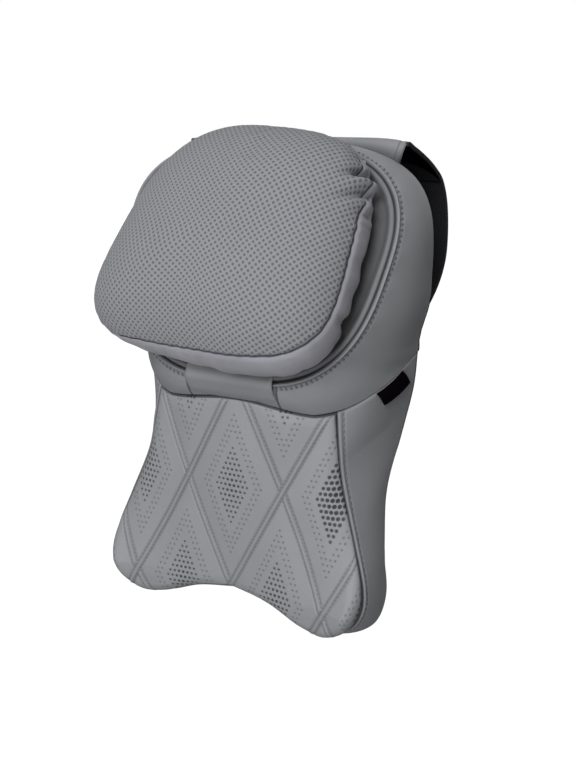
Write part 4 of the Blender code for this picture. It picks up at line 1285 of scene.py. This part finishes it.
def loop_pieces(leather_finish, lining, elastic, binding):
    """Leather hood with side hems, its black lining painted as the shadow under the hood, the elastic band,
    and the binding on the edges.
    """
    columns = np.linspace(-LOOP_HALF_WIDTH, LOOP_HALF_WIDTH, LOOP_COLUMNS)
    lines = [loop_line(x) for x in columns]
    grid = np.array([line for line, seam in lines])
    seam = lines[0][1]
    normals = facing(grid, LOOP_MIDDLE)
    inset = LOOP_HALF_WIDTH - np.abs(columns)[:, None]
    hem = (0.0006 * bell(inset - 0.0030, 0.0025) - 0.0005 * bell(inset - HEM_LINE, 0.0010)
           - 0.0008 * bell(inset, 0.0008))
    hood = surface("hood_leather", (grid + normals * hem[..., None])[:, :seam + 1], LOOP_MIDDLE,
                   leather_finish, thickness=LEATHER_THICK, edge=inset)
    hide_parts("hood")
    skip = LOOP_STEPS * 2
    lined = (grid - normals * 0.0026)[:, skip:seam + 1]
    ahead = np.array([lengths(line)[-1] - lengths(line) for line in lined])
    charcoal_edge = 0.040 * (1 - (np.abs(columns) / LOOP_HALF_WIDTH) ** 10)
    inner = surface("hood_lining_cloth", lined, LOOP_MIDDLE, lining, thickness=0.0008,
                    edge=ahead - charcoal_edge[:, None])
    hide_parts("hood_lining")
    band = surface("back_band_elastic", grid[:, seam:], LOOP_MIDDLE, elastic,
                   thickness=0.0020)
    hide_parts("back_band")
    for name, column in (("band_binding_left", 0), ("band_binding_right", -1)):
        path = grid[column, skip:]
        tube(name, path - normals[column, skip:] * 0.0011, normals[column, skip:], (0.0015, 0.0021), binding,
             sides=8)


def tab(finish):
    """The label sewn into the right-hand seam: it drops along a slant, and bows out in its middle."""
    top = seam_points(np.linspace(*TAB_ANGLES, 25)) + [0.0006, 0, -0.0003]
    drop = np.array(TAB_DROP)
    out = unit(np.array([1.0, -0.35, 0.2]))
    rows = [top + drop * s + out * (0.0006 + 0.0010 * math.sin(math.pi * min(s * 1.2, 1)))
            for s in np.linspace(0, 1, 14)]
    piece = surface("side_label", np.array(rows), (0, -0.05, -0.1), finish,
                    thickness=CLOTH_THICK)
    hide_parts("side_tab")


# Stage

def stage():
    """White world to the camera, a pale floor that keeps the shadow, three soft lamps, and the camera."""
    scene = bpy.context.scene
    floor_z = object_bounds()[0][2] - 0.002
    corners = [[x, y, floor_z] for x, y in ((-6, -6), (6, -6), (6, 6), (-6, 6))]
    mesh = build_mesh("floor", np.array(corners), [(0, 1, 2, 3)])
    finish = Finish("pale_floor", FLOOR_ALBEDO, 1.0, 0.0)
    seen = finish.node("ShaderNodeLightPath", {}, output="Is Camera Ray")
    glow = finish.node("ShaderNodeEmission", {}, (1.0, 1.0, 1.0, 1.0), FLOOR_GLOW)
    mix = finish.node("ShaderNodeMixShader", {}, seen * FLOOR_GLOW_SHARE,
                      Signal(finish, finish.shader.outputs[0]), glow)
    finish.tree.links.new(mix.socket, finish.tree.nodes["Material Output"].inputs["Surface"])
    mesh.materials.append(finish.material)
    floor = link("floor", mesh)
    floor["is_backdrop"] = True

    scene.world = bpy.data.worlds.new("studio")
    nodes = Nodes(scene.world)
    background = nodes.tree.nodes["Background"]
    background.inputs["Color"].default_value = (1.0, 1.0, 1.0, 1.0)
    rays = [nodes.node("ShaderNodeLightPath", {}, output=f"Is {kind} Ray")
            for kind in ("Camera", "Glossy", "Transmission")]
    level = rays[0].most(rays[1]).most(rays[2]) * (1 - AMBIENT) + AMBIENT
    nodes.tree.links.new(level.socket, background.inputs["Strength"])

    for name, place, size, power in LAMPS:
        lamp = bpy.data.lights.new(name, "AREA")
        lamp.shape = "DISK"
        lamp.size = size
        lamp.energy = power
        item = link(name, lamp)
        item.location = place
        item.rotation_euler = (Vector(place) - LAMP_AIM).to_track_quat("Z", "Y").to_euler()
    camera = bpy.data.cameras.new("camera")
    camera.lens = CAMERA_LENS
    camera.sensor_width = CAMERA_SENSOR
    item = link("camera", camera)
    item.location = CAMERA_AIM + CAMERA_SIDE * CAMERA_DISTANCE
    item.rotation_euler = CAMERA_SIDE.to_track_quat("Z", "Y").to_euler()
    scene.camera = item
    scene.view_settings.view_transform = "Standard"


def dress():
    """Makes every piece, and gives the foam that stays its material."""
    # Painted shade in a seam's gap: distance from the seam, half width and depth
    seam_gap_shade = (0.0, 0.0016, 0.9)
    plain = leather("grey_leather")
    thread = sewing_thread()
    black = woven("black_cloth", CLOTH_BLACK, 0.0010)
    # Side leather: painted shade in the seam's gap, the groove and the stitch dip, and painted shadow beside
    # the flap's edges
    head_side(flap_edge_shadows(leather("side_leather", painted_crease_shades=(
        seam_gap_shade, (GROOVE_LINE, 0.0009, 0.45), (STITCH_LINE, 0.0026, 0.15)))), thread)
    head_welt(plain)
    # Front panel: painted shade in the seam's gap, and a broad painted shadow of the pillow on the panel
    # beside it
    head_front(leather("panel_leather", painted_crease_shades=(seam_gap_shade, (0.018, 0.020, 0.78))))
    head_back(black)
    neck_front(quilted_leather())
    # Neck side: painted shade in the seam's gap and along the stitch dip
    neck_side(leather("neck_side_leather", painted_crease_shades=(
        (0.0, 0.0013, 0.75), (NECK_STITCH_LINE, 0.0020, 0.15))), thread)
    neck_back(black)
    pillow(knit(), suede())
    flap(plain)
    # Hood: painted shade along the hem's stitch dip and at its root behind the block's edge
    loop_pieces(hood_root_shade(leather("hood_leather", painted_crease_shades=((HEM_LINE, 0.0012, 0.4),)), 0.0088), lining_cloth(),
                ribbed_elastic("charcoal_elastic", CHARCOAL), ribbed_elastic("dark_binding", BINDING))
    tab(woven("black_label", LABEL_BLACK, 0.0008, specular=0.0))
    inner = foam()
    for name in ("head_foam", "neck_foam"):
        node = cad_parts[name]
        node.data.materials.clear()
        node.data.materials.append(inner.material)


dress()
stage()
